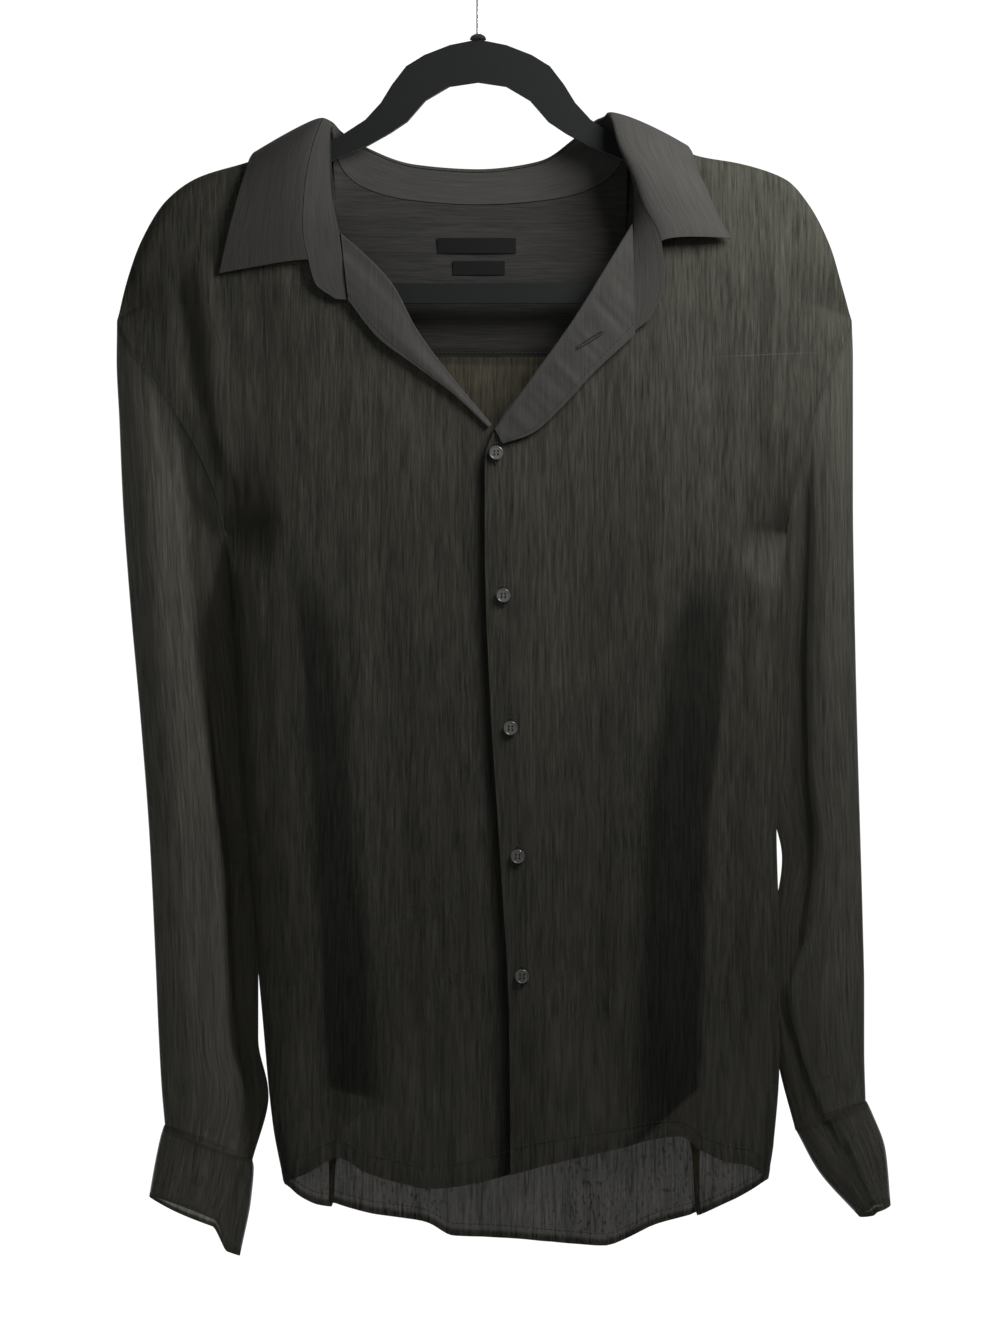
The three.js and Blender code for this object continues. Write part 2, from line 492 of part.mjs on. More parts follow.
// Outline of the body's outer side at row share v: armhole first, then the side fold
function outlineAt(side, v) {
  const table = v < armholeShare ? armhole[side] : sideFold[side];
  const t = v < armholeShare ? v / armholeShare : (v - armholeShare) / (1 - armholeShare);
  return { x: valueAt(table, 'x', t), z: valueAt(table, 'z', t), table, t };
}

// A front: rows run from its centre edge to its outer side, bent to the shoulder and the hem
function frontPanel(name, side, laps) {
  const out = side === 'right' ? -1 : 1;
  const facing = {};
  const endEdge = frontEdge[side][frontEdge[side].length - 1];
  const endOutline = sideFold[side][sideFold[side].length - 1];
  const rows = frontRows.map((v, i) => {
    const outline = outlineAt(side, v);
    const edge = { x: valueAt(frontEdge[side], 'x', v), z: valueAt(frontEdge[side], 'z', v) };
    return frontColumns.map((u, j) => {
      let x = mix(edge.x, outline.x, u);
      let z = mix(edge.z, outline.z, u);
      const fold = shoulderFold[side];
      const foldShare = (1 - v) ** 5 * (v < armholeShare ? 1 - v / armholeShare : 0);
      x += foldShare * (valueAt(fold, 'x', u) - mix(fold[0].x, fold[fold.length - 1].x, u));
      z += foldShare * (valueAt(fold, 'z', u) - mix(fold[0].z, fold[fold.length - 1].z, u));
      z += v ** 7 * (valueAt(frontHem, 'z', x) - mix(endEdge.z, endOutline.z, u));
      if (j === frontColumns.length - 1) {
        facing[`${i},${j}`] = v < armholeShare
          ? armholeFacing(side, outline.t, -1)
          : v === armholeShare ? new THREE.Vector3(0, 0, -1) : new THREE.Vector3(out, 0, 0);
      }
      if (i === 0) facing[`${i},${j}`] = outwardOf(fold, u, out);
      const onSeam = i === 0 || j === frontColumns.length - 1;
      const lap = laps && !onSeam ? frontLift(x, z) : 0;
      const y = i === 0 ? -seamGap / 2 : frontY(side, x, z);
      return new THREE.Vector3(x, y - lap, z);
    });
  });
  return wallMesh(name, rows, cloth, { facing: keepTurned(rows, facing) });
}

const topEdgeByHeight = [...frontEdge.left].reverse().map(({ x, z }) => ({ t: z, x }));

// How far the top front stands off the under one, near its edge
function frontLift(x, z) {
  const past = x - valueAt(topEdgeByHeight, 'x', z);
  const nearEdge = 1 - smooth((past - frontLap.flat) / frontLap.reach);
  return frontLap.lift * nearEdge * smooth((frontLap.top - z) / frontLap.topReach);
}

// Fixed directions flipped where they would turn against the grid's own side
function keepTurned(rows, facing) {
  const kept = {};
  const lastRow = rows.length - 1;
  const lastColumn = rows[0].length - 1;
  for (const [key, direction] of Object.entries(facing)) {
    const [i, j] = key.split(',').map(Number);
    const ii = Math.min(lastRow - 1, Math.max(1, i));
    const jj = Math.min(lastColumn - 1, Math.max(1, j));
    const down = rows[ii + 1][jj].clone().sub(rows[ii - 1][jj]);
    const across = rows[ii][jj + 1].clone().sub(rows[ii][jj - 1]);
    kept[key] = across.cross(down).dot(direction) < 0 ? direction.clone().negate() : direction;
  }
  return kept;
}

const yokeSeamHeight = -296;
const yokeSeamShare = 0.16;

// Yoke's grid of points: from the shoulder folds and the back neck down to the yoke seam
function yokeGrid() {
  const facing = {};
  const shoulderSteps = [0, 0.08, 0.18, 0.3, 0.44, 0.58, 0.72, 0.86, 1];
  const neckSteps = leafSteps.filter((t) => neckShare(t) > 0 && neckShare(t) < 1).map(neckShare);
  const onShoulder = (side, t) => {
    const fold = shoulderFold[side];
    return { side, x: valueAt(fold, 'x', t), y: seamGap / 2, z: valueAt(fold, 'z', t), t };
  };
  const onNeck = (t) => {
    const place = { x: valueAt(backNeck, 'x', t), y: valueAt(backNeck, 'y', t), z: valueAt(backNeck, 'z', t) };
    return { side: t < 0.5 ? 'right' : 'left', ...place };
  };
  const top = [
    ...[...shoulderSteps].reverse().map((t) => onShoulder('right', t)),
    ...neckSteps.map(onNeck),
    ...shoulderSteps.map((t) => onShoulder('left', t)),
  ];
  const lastColumn = top.length - 1;
  const seamEnd = (side, column) => valueAt(armhole[side], column, yokeSeamShare);
  const seamPoint = (share) => {
    const x = mix(seamEnd('right', 'x'), seamEnd('left', 'x'), share);
    const straight = mix(seamEnd('right', 'z'), seamEnd('left', 'z'), share);
    return { x, z: mix(straight, yokeSeamHeight, smooth(Math.min(share, 1 - share) / 0.2)) };
  };
  const reachShare = (x) => (x - top[0].x) / (top[lastColumn].x - top[0].x);
  const rowShares = [0, 0.06, 0.16, 0.34, 0.55, 0.78, 1];
  const rows = rowShares.map((v, i) => top.map((point, j) => {
    const seam = seamPoint(reachShare(point.x));
    const atEnd = j === 0 || j === lastColumn;
    let x = mix(point.x, seam.x, v);
    let z = mix(point.z, seam.z, v);
    if (atEnd) {
      x = valueAt(armhole[point.side], 'x', v * yokeSeamShare);
      z = valueAt(armhole[point.side], 'z', v * yokeSeamShare);
      facing[`${i},${j}`] = armholeFacing(point.side, v * yokeSeamShare, 1);
    }
    if (i === 0 && point.t !== undefined) {
      facing[`${i},${j}`] = outwardOf(shoulderFold[point.side], point.t, point.side === 'right' ? -1 : 1);
    }
    const free = backY(point.side, x, z);
    const y = i === 0 ? point.y : mix(point.t === undefined ? point.y : free, free, smooth(v / 0.5));
    return new THREE.Vector3(x, y, z);
  }));
  return { rows, facing: keepTurned(rows, facing) };
}

// Y of a grid's faceted surface at (x, z)
function gridDepth(rows, x, z) {
  for (let i = 0; i < rows.length - 1; i += 1) {
    for (let j = 0; j < rows[0].length - 1; j += 1) {
      const [a, b, c, d] = [rows[i][j], rows[i][j + 1], rows[i + 1][j + 1], rows[i + 1][j]];
      for (const [p, q, r] of [[a, b, c], [a, c, d]]) {
        const area = (q.x - p.x) * (r.z - p.z) - (r.x - p.x) * (q.z - p.z);
        const toR = ((q.x - p.x) * (z - p.z) - (x - p.x) * (q.z - p.z)) / area;
        const toQ = ((x - p.x) * (r.z - p.z) - (r.x - p.x) * (z - p.z)) / area;
        if (toR >= 0 && toQ >= 0 && toR + toQ <= 1) return p.y + toQ * (q.y - p.y) + toR * (r.y - p.y);
      }
    }
  }
  throw new Error(`(${x}, ${z}) is off the grid`);
}

// Columns of the back from the side fold to the middle. plain is the column's share of the
// way where the back is not folded; below, it lies at an offset from the side fold or from
// an edge of the long fold, and layer says how deep it lies there.
const backColumns = [
  { plain: 0, edge: 'side', offset: 0, layer: 0, raised: 0 },
  { plain: 0.01, edge: 'side', offset: 1.3, layer: 0, raised: 0 },
  { plain: 0.04, edge: 'side', offset: 4.5, layer: -0.2, raised: 0 },
  { plain: 0.09, edge: 'side', offset: 11, layer: -0.9, raised: 0 },
  { plain: 0.17, edge: 'side', offset: 24, layer: -1.7, raised: 0.25 },
  { plain: 0.26, edge: 'inner', offset: -22, layer: -2, raised: 0.6 },
  { plain: 0.34, edge: 'inner', offset: -5, layer: -2, raised: 0.95 },
  { plain: 0.385, edge: 'inner', offset: 0, layer: -1.65, raised: 1 },
  { plain: 0.43, edge: 'inner', offset: -4, layer: -1.2, raised: 0.95 },
  { plain: 0.5, edge: 'outer', offset: 14, layer: -1, raised: 0.6 },
  { plain: 0.56, edge: 'outer', offset: 5, layer: -0.7, raised: 0.3 },
  { plain: 0.61, edge: 'outer', offset: 0, layer: -0.35, raised: 0.12 },
  { plain: 0.66, edge: 'outer', offset: 5, layer: 0, raised: 0 },
  { plain: 0.74, edge: 'outer', offset: 30, layer: 0, raised: 0 },
];
const backMiddleColumns = [0, 0.17, 0.34, 0.5, 0.66, 0.83, 1];
const backRows = [
  0, 0.05, 0.1, 0.16, 0.22, 0.26, 0.3, 0.35, 0.4, 0.45,
  0.5, 0.55, 0.6, 0.7, 0.8, 0.88, 0.94, 0.975, 1,
];
const backArmholeShare = 0.22;
const lastBackColumn = 2 * backColumns.length + backMiddleColumns.length - 1;
const middleX = 18;

// Outline of the back's outer side at row share v: armhole below the yoke, then the side fold
function backOutlineAt(side, v) {
  if (v < backArmholeShare) {
    const t = mix(yokeSeamShare, 1, v / backArmholeShare);
    return { x: valueAt(armhole[side], 'x', t), z: valueAt(armhole[side], 'z', t), seam: t };
  }
  const t = (v - backArmholeShare) / (1 - backArmholeShare);
  return { x: valueAt(sideFold[side], 'x', t), z: valueAt(sideFold[side], 'z', t), seam: 1, low: t > 0 };
}

// Back: one grid from the right side fold to the left one, with a long fold near each side
function backPanel() {
  const facing = {};
  const rows = backRows.map((v, i) => {
    const row = [];
    const hemShare = smooth((v - 0.5) / 0.5);
    for (const side of ['right', 'left']) {
      const out = side === 'right' ? -1 : 1;
      const outline = backOutlineAt(side, v);
      const fold = backFolds[side];
      const columns = backColumns.map((column, k) => {
        const seamDip = i === 0 && k > 0 ? seamGap : 0;
        const topDip = mix(outline.z, yokeSeamHeight, smooth(column.plain / 0.4)) - seamDip;
        let z = mix(topDip, outline.z, smooth(v / backArmholeShare));
        if (k === 0) z = outline.z - seamDip;
        const plainZ = z;
        const share = smooth((fold.start - z) / (fold.start - fold.full));
        const plainX = mix(outline.x, middleX, column.plain);
        const from = column.edge === 'side' ? outline.x : valueAt(fold[column.edge], 'x', z);
        const foldedX = from - out * column.offset;
        const x = mix(plainX, foldedX, share);
        const hemZ = valueAt(backHem, 'z', x) + fold.rise * column.raised;
        z += hemShare * (hemZ - sideFold[side][sideFold[side].length - 1].z);
        const parted = smooth((fold.start + foldParting.above - plainZ) / foldParting.reach);
        const y = backY(side, x, z) + column.layer * foldSpacing * parted;
        if (k === 0) {
          const direction = outline.low ? new THREE.Vector3(out, 0, 0) : armholeFacing(side, outline.seam, 1);
          facing[`${i},${side === 'right' ? 0 : lastBackColumn}`] = direction;
        }
        return new THREE.Vector3(x, y, z);
      });
      row.push(side === 'right' ? columns : columns.reverse());
    }
    const from = row[0][row[0].length - 1];
    const to = row[1][0];
    const straightHem = (share) => mix(valueAt(backHem, 'z', from.x), valueAt(backHem, 'z', to.x), share);
    const middle = backMiddleColumns.map((share) => {
      const x = mix(mix(from.x, to.x, 0.08), mix(from.x, to.x, 0.92), share);
      const z = mix(from.z, to.z, share) + hemShare * (valueAt(backHem, 'z', x) - straightHem(share));
      return new THREE.Vector3(x, backY(x < middleX ? 'right' : 'left', x, z), z);
    });
    return [...row[0], ...middle, ...row[1]];
  });
  return wallMesh('back_panel', rows, cloth, { facing: keepTurned(rows, facing) });
}

// Places round a tube: out along its front from outer to inner edge, back behind it
const frontPlaces = [
  0, 0.025, 0.09, 0.19, 0.31, 0.42, 0.475, 0.525, 0.6, 0.72, 0.84, 0.94, 0.985, 1,
];
const rearPlaces = [0.97, 0.86, 0.7, 0.5, 0.3, 0.14, 0.03];

// A sleeve's share of the way from outer to inner edge, with the middle place on its fold
const warpToFold = (place, fold) => (place < 0.5 ? place * 2 * fold : fold + (place - 0.5) * 2 * (1 - fold));

// A point of a tube at ring t, a share of the way from its outer to its inner edge.
// Past the fold its front drops back by the recess, and both walls lie further back.
function tubePoint(table, t, share, rear) {
  const get = (column) => valueAt(table, column, t);
  const inner = smooth((share - get('fold') + 0.06) / 0.12);
  const thin = 1 - get('recess') * inner * (rear ? 0.5 : 1);
  const sink = get('set') * smooth((share - 0.2) / (get('fold') - 0.1));
  const y = sink + (rear ? 1 : -1) * get('half') * lensShape(share) * thin;
  return new THREE.Vector3(mix(get('ox'), get('ix'), share), y, mix(get('oz'), get('iz'), share));
}

// One ring of a sleeve or cuff; a seam bends the first rings, a drop lowers the inner part
function tubeRing(table, t, seam = null) {
  const fold = valueAt(table, 'fold', t);
  const place = (share, rear) => {
    const point = tubePoint(table, t, share, rear);
    if (seam) {
      const bow = 1 - smooth(t / 0.2);
      const last = seam.length - 1;
      point.x += bow * (valueAt(seam, 'x', share) - mix(seam[0].x, seam[last].x, share));
      point.z += bow * (valueAt(seam, 'z', share) - mix(seam[0].z, seam[last].z, share));
    }
    const drop = table[0].drop === undefined ? 0 : valueAt(table, 'drop', t);
    point.z -= drop * smooth((share - fold + 0.05) / 0.16);
    return point;
  };
  return [
    ...frontPlaces.map((p) => place(warpToFold(p, fold), false)),
    ...rearPlaces.map((p) => place(warpToFold(p, fold), true)),
  ];
}

const sleeveSteps = [
  0, 0.02, 0.05, 0.09, 0.14, 0.2, 0.27, 0.35, 0.43, 0.51, 0.59, 0.66, 0.73, 0.8, 0.86, 0.91,
  0.95, 0.98, 1,
];

function sleeve(name, side) {
  const table = sleeveRings[side];
  const facing = {};
  const rows = sleeveSteps.map((t) => tubeRing(table, t, armhole[side]));
  const fold = table[0].fold;
  frontPlaces.forEach((p, j) => {
    facing[`0,${j}`] = armholeFacing(side, warpToFold(p, fold), -1);
  });
  rearPlaces.forEach((p, j) => {
    facing[`0,${frontPlaces.length + j}`] = armholeFacing(side, warpToFold(p, fold), 1);
  });
  const sign = ringSide(rows);
  for (const key of Object.keys(facing)) facing[key].multiplyScalar(sign);
  return wallMesh(name, rows, cloth, { round: true, facing });
}

// Whether a tube's own grid faces outwards (1) or inwards (-1)
function ringSide(rows) {
  const middle = new THREE.Vector3();
  rows[2].forEach((point) => middle.add(point));
  middle.multiplyScalar(1 / rows[2].length);
  const down = rows[3][4].clone().sub(rows[1][4]);
  const across = rows[2][5].clone().sub(rows[2][3]);
  return across.cross(down).dot(rows[2][4].clone().sub(middle)) < 0 ? -1 : 1;
}

function cuff(name, side) {
  const steps = [0, 0.06, 0.2, 0.45, 0.75, 1];
  const rows = steps.map((t) => tubeRing(cuffRings[side], t));
  return wallMesh(name, rows, cloth, { wall: cuffWall, round: true });
}

// A point of the collar at station t: n, s or e. Round the back, n stands off the neck seam.
function collarPoint(t, letter) {
  const share = neckShare(t);
  if (letter === 'n' && share > 0 && share < 1) {
    const seam = new THREE.Vector3(...['x', 'y', 'z'].map((column) => valueAt(backNeck, column, share)));
    const runX = valueAt(backNeck, 'x', share + 0.02) - valueAt(backNeck, 'x', share - 0.02);
    const runZ = valueAt(backNeck, 'z', share + 0.02) - valueAt(backNeck, 'z', share - 0.02);
    return seam.addScaledVector(new THREE.Vector3(-runZ, 0, runX).normalize(), seamGap + clothWall / 2);
  }
  return new THREE.Vector3(...['x', 'y', 'z'].map((column) => valueAt(collarStations, letter + column, t)));
}

function collarStand() {
  const steps = [0, 0.012, 0.025, ...leafSteps, 0.975, 0.988, 1];
  const rows = [0, 0.33, 0.67, 1].map((v) => steps.map((t) => {
    const low = collarPoint(t, 'n');
    return low.lerp(collarPoint(t, 's'), v);
  }));
  return wallMesh('collar_stand', rows, cloth);
}

function collarLeaf() {
  const shares = [0, 0.08, 0.18, 0.32, 0.55, 0.78, 1];
  const columns = leafSteps.map((t) => {
    const low = collarPoint(t, 'n');
    const seam = collarPoint(t, 's');
    const edge = collarPoint(t, 'e');
    const rise = seam.clone().sub(low).normalize();
    const reach = edge.clone().sub(seam);
    const turned = (1 - rise.dot(reach.clone().normalize())) / 2;
    const aside = reach.clone().addScaledVector(rise, -reach.dot(rise)).normalize();
    const start = seam.clone().addScaledVector(rise, leafSeamGap);
    const second = start.clone().addScaledVector(rise, valueAt(collarStations, 'roll', t));
    second.addScaledVector(aside, 0.6 * rollBulge * turned);
    const third = second.clone().addScaledVector(reach, 0.35).addScaledVector(aside, rollBulge * turned);
    const curve = new THREE.CubicBezierCurve3(start, second, third, edge);
    return shares.map((share) => curve.getPoint(share));
  });
  const rows = shares.map((_, i) => columns.map((column) => column[i]));
  return wallMesh('collar_leaf', rows, cloth);
}

// Turned-out band: from the roll line out to the free edge, a little proud of the front
function turnedBand(name, side) {
  const band = turnedBands[side];
  const along = [0, 0.12, 0.26, 0.42, 0.58, 0.74, 0.88, 1];
  const across = [0, 0.2, 0.6, 1];
  const rows = across.map((u) => along.map((t) => {
    const x = mix(valueAt(band.roll, 'x', t), valueAt(band.outer, 'x', t), u);
    const z = mix(valueAt(band.roll, 'z', t), valueAt(band.outer, 'z', t), u);
    const rise = valueAt(band.lift, 'y', t) * smooth(u / 0.7);
    const lap = side === 'left' ? frontLift(x, z) : 0;
    return new THREE.Vector3(x, frontY(side, x, z) - lap - clothWall - seamGap - rise, z);
  }));
  return wallMesh(name, rows, cloth);
}

// Sleeve placket: a narrow strip laid on the sleeve, made from its points moved out.
// It runs from ring t0 to t1, its inner edge a little outside the sleeve's fold.
function sleevePlacket(name, side, rear, { t0, t1, inset, width }) {
  const lift = clothWall + 2 * seamGap;
  const steps = [0, 0.2, 0.4, 0.6, 0.8, 1];
  const rows = [0, 1].map((edge) => steps.map((share) => {
    const t = mix(t0, t1, share);
    const place = valueAt(sleeveRings[side], 'fold', t) - inset - edge * width;
    const at = (p, ring) => tubePoint(sleeveRings[side], ring, p, rear);
    const along = at(place, t + 0.01).sub(at(place, t - 0.01));
    const across = at(place + 0.02, t).sub(at(place - 0.02, t));
    const normal = across.cross(along).normalize();
    if (normal.y * (rear ? 1 : -1) < 0) normal.negate();
    return at(place, t).addScaledVector(normal, lift);
  }));
  return wallMesh(name, rows, cloth);
}

// Round button with four holes, its back at y and its face towards the viewer
function button(name, x, y, z) {
  const shape = new THREE.Shape();
  shape.absarc(0, 0, buttonRadius, 0, 2 * Math.PI, false);
  const holeRadius = 0.7;
  const holeReach = 1.3;
  for (const [right, up] of [[-1, -1], [1, -1], [1, 1], [-1, 1]]) {
    const hole = new THREE.Path();
    hole.absarc(right * holeReach, up * holeReach, holeRadius, 0, 2 * Math.PI, true);
    shape.holes.push(hole);
  }
  const geometry = new THREE.ExtrudeGeometry(shape, {
    depth: buttonThickness, bevelEnabled: false, curveSegments: 7,
  });
  const mesh = new THREE.Mesh(geometry, buttonPlastic);
  mesh.name = name;
  mesh.rotation.x = Math.PI / 2;
  mesh.position.set(x, y, z);
  return mesh;
}

// Blank woven label on the yoke's inner face, made from the yoke's points moved out
function insideLabel(name, yokeRows, { x, z, width, height }) {
  const across = [-0.5, -0.25, 0, 0.25, 0.5];
  const down = [0.5, 0, -0.5];
  const off = (clothWall + labelWall) / 2 + seamGap;
  const rows = down.map((v) => across.map((u) => {
    const place = { x: x + u * width, z: z + v * height };
    return new THREE.Vector3(place.x, gridDepth(yokeRows, place.x, place.z) - off, place.z);
  }));
  return wallMesh(name, rows, labelSatin, { wall: labelWall });
}

// Hanger plate: right half of its outline, mirrored; the inner edge bounds its one gap
const hangerOuter = [
  [0, -73], [20, -77], [38, -84], [51, -92], [61, -105], [69, -118], [80, -130], [100, -143], [126, -149.5],
  [161, -164.4], [200, -180], [216, -192], [226, -206], [232, -225], [230, -247], [221, -260],
];
const hangerInner = [
  [0, -103], [20, -106], [37, -116], [50, -131], [62, -139], [78, -148], [126, -168], [161, -183], [194, -201],
  [208, -222], [204, -246],
];

function hangerBody() {
  const shape = new THREE.Shape();
  const mirrored = (half) => [...half, ...half.slice(1).reverse().map(([x, z]) => [-x, z])];
  mirrored(hangerOuter).forEach(([x, z], i) => (i === 0 ? shape.moveTo(x, z) : shape.lineTo(x, z)));
  const gap = new THREE.Path();
  mirrored(hangerInner).reverse().forEach(([x, z], i) => (i === 0 ? gap.moveTo(x, z) : gap.lineTo(x, z)));
  shape.holes.push(gap);
  const geometry = new THREE.ExtrudeGeometry(shape, { depth: hangerThickness, bevelEnabled: false });
  const mesh = new THREE.Mesh(geometry, velvet);
  mesh.name = 'hanger_body';
  mesh.rotation.x = Math.PI / 2;
  mesh.position.set(0, hangerThickness / 2, 0);
  return mesh;
}

// Hook: straight shank, a bend, then round over the top to a short open end
function hangerHook() {
  const degree = Math.PI / 180;
  const loopStart = -72 * degree;
  const loopEnd = 205 * degree;
  const bendEnd = 54 * degree;
  const shank = [-68.5, -58].map((z) => new THREE.Vector3(0, 0, z));
  const loopCentreZ = hookWire - hookLoopRadius;
  const bendCentreZ = loopCentreZ + (hookLoopRadius + hookBendRadius) * Math.sin(loopStart);
  const onLoop = (angle) => new THREE.Vector3(
    hookLoopRadius * Math.cos(angle),
    0,
    loopCentreZ + hookLoopRadius * Math.sin(angle),
  );
  const onBend = (turn) => new THREE.Vector3(
    hookBendRadius * (1 - Math.cos(turn)),
    0,
    bendCentreZ + hookBendRadius * Math.sin(turn),
  );
  const bend = [0, 0.25, 0.5, 0.75].map((share) => onBend(share * bendEnd));
  const loopSteps = 18;
  const loop = Array.from({ length: loopSteps + 1 }, (_, i) => onLoop(mix(loopStart, loopEnd, i / loopSteps)));
  const wire = new THREE.Shape();
  wire.absarc(0, 0, hookWire, 0, 2 * Math.PI, false);
  const path = new THREE.CatmullRomCurve3([...shank, ...bend, ...loop], false, 'centripetal');
  const geometry = new THREE.ExtrudeGeometry(wire, {
    steps: 44, curveSegments: 4, bevelEnabled: false, extrudePath: path,
  });
  const mesh = new THREE.Mesh(geometry, wireMetal);
  mesh.name = 'hanger_hook';
  return mesh;
}

// Small collar at the foot of the hook, standing on the hanger's top
function hookFerrule() {
  const profile = [[0, -72.6], [6, -72.6], [5, -70.5], [2.6, -69], [0, -69]];
  const outline = profile.map(([radius, height]) => new THREE.Vector2(radius, height));
  const geometry = new THREE.LatheGeometry(outline, 14);
  const mesh = new THREE.Mesh(geometry, velvet);
  mesh.name = 'hook_ferrule';
  mesh.rotation.x = Math.PI / 2;
  return mesh;
}

const garment = new THREE.Group();
garment.add(hangerBody(), hangerHook(), hookFerrule());
garment.add(frontPanel('front_right', 'right', false), frontPanel('front_left', 'left', true));
const yoke = yokeGrid();
garment.add(wallMesh('back_yoke', yoke.rows, cloth, { facing: yoke.facing }), backPanel());
garment.add(turnedBand('button_band', 'right'), turnedBand('buttonhole_band', 'left'));
garment.add(collarStand(), collarLeaf());
garment.add(sleeve('sleeve_right', 'right'), sleeve('sleeve_left', 'left'));
garment.add(cuff('cuff_right', 'right'), cuff('cuff_left', 'left'));
const rearSlit = { t0: 0.8, t1: 0.99, inset: 0.3, width: 0.2 };
const frontSlit = { t0: 0.79, t1: 0.95, inset: 0.1, width: 0.2 };
garment.add(sleevePlacket('sleeve_placket_right', 'right', true, rearSlit));
garment.add(sleevePlacket('sleeve_placket_left', 'left', false, frontSlit));
frontButtons.forEach(({ x, z }, i) => {
  const y = frontY('left', x, z) - frontLift(x, z) - clothWall / 2 - seamGap;
  garment.add(button(`front_button_${i + 1}`, x, y, z));
});
// Two more buttons lie behind the turned-out stand end and band, one on the back of each cuff
const hiddenButtons = [
  { name: 'collar_button', x: -106.5, z: -238, off: 0.9 },
  { name: 'band_button', x: -46.8, z: -298.3, off: 0.8 },
];
hiddenButtons.forEach(({ name, x, z, off }) => garment.add(button(name, x, frontY('right', x, z) - off, z)));
for (const [side, ring, share] of [['right', 0.6, 0.45], ['left', 0.4, 0.45]]) {
  const place = tubePoint(cuffRings[side], ring, share, true);
  const y = place.y + cuffWall / 2 + seamGap + buttonThickness;
  garment.add(button(`cuff_button_${side}`, place.x, y, place.z));
}
garment.add(insideLabel('neck_label', yoke.rows, { x: -1, z: -216.5, width: 56, height: 11 }));
garment.add(insideLabel('size_label', yoke.rows, { x: 0.5, z: -232.5, width: 37, height: 10 }));

export default garment;
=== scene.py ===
import math
import bpy
import numpy as np
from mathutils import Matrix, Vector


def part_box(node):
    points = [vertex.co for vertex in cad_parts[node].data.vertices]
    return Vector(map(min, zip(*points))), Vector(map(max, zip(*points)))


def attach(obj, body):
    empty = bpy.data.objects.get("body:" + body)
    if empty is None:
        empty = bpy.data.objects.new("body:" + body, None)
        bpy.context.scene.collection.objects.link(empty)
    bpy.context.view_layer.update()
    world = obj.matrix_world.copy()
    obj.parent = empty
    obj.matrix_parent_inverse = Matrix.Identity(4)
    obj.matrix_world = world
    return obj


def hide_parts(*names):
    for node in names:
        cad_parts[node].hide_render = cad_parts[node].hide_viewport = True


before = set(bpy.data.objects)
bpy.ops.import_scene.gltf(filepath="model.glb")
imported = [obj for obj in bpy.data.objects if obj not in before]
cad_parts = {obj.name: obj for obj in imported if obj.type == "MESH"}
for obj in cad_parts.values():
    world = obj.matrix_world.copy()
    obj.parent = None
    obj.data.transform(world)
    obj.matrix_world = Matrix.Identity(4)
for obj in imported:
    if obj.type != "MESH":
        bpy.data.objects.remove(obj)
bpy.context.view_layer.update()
print("stage: frame loaded")

# The same named sizes as the solids, in millimetres; pieces are turned to metres when made
clothThickness = 0.5
seamGap = 0.1
armholeDepth = 15.0
rollBulge = 4.5
bodyDepth = {"top": 6.0, "gain": 16.0, "reach": 80.0, "rounding": 9.0, "armholeReach": 45.0}
sideRounding = {"front": 24.0, "back": 38.0, "lean": 8.0, "leanReach": 70.0}
underarm = {"z": -423.0, "ease": 0.3, "reach": 12.0}
frontLap = {"lift": 4.2, "flat": 8.0, "reach": 60.0, "top": -150.0, "topReach": 120.0}
yokeSeamHeight = -296.0
yokeSeamShare = 0.16
armholeShare = 0.4
backArmholeShare = 0.22
middleX = 18.0
foldSpacing = 7.0
foldParting = {"above": -30.0, "reach": 80.0}


# A table with named columns, as one array for each column
def makeTable(names, rows):
    values = np.array(rows, float)
    return {name: values[:, k] for k, name in enumerate(names.split())}


shoulderFold = {
    "right": makeTable("t x z", [
        [0, -104, -136.5], [0.14, -126, -144], [0.35, -161, -159], [0.56, -199, -171],
        [0.70, -221, -187], [0.84, -239, -216], [0.93, -249, -244], [1, -256, -272]]),
    "left": makeTable("t x z", [
        [0, 107, -136.5], [0.14, 130, -145], [0.30, 158, -156], [0.45, 186, -161], [0.62, 218, -172],
        [0.73, 234, -189], [0.86, 250, -220], [0.94, 258, -247], [1, 265, -272]]),
}
armhole = {
    "right": makeTable("t x z", [
        [0, -256, -272], [0.14, -247, -289], [0.32, -232, -310], [0.48, -217, -333],
        [0.66, -200, -362], [0.83, -187, -392], [1, -179, -423]]),
    "left": makeTable("t x z", [
        [0, 265, -272], [0.14, 258, -291], [0.32, 247, -314], [0.48, 238, -338],
        [0.66, 230, -366], [0.83, 223, -394], [1, 219, -423]]),
}
sideFold = {
    "right": makeTable("t x z", [
        [0, -179, -423], [0.07, -176.5, -455], [0.16, -173, -494], [0.31, -169, -565],
        [0.56, -160, -679], [0.73, -153, -757], [0.91, -145, -840], [1, -137, -882]]),
    "left": makeTable("t x z", [
        [0, 219, -423], [0.07, 217.5, -455], [0.2, 214, -515], [0.31, 212, -565], [0.45, 211, -632],
        [0.63, 213, -712], [0.82, 213, -797], [0.94, 209, -854], [1, 205, -880]]),
}
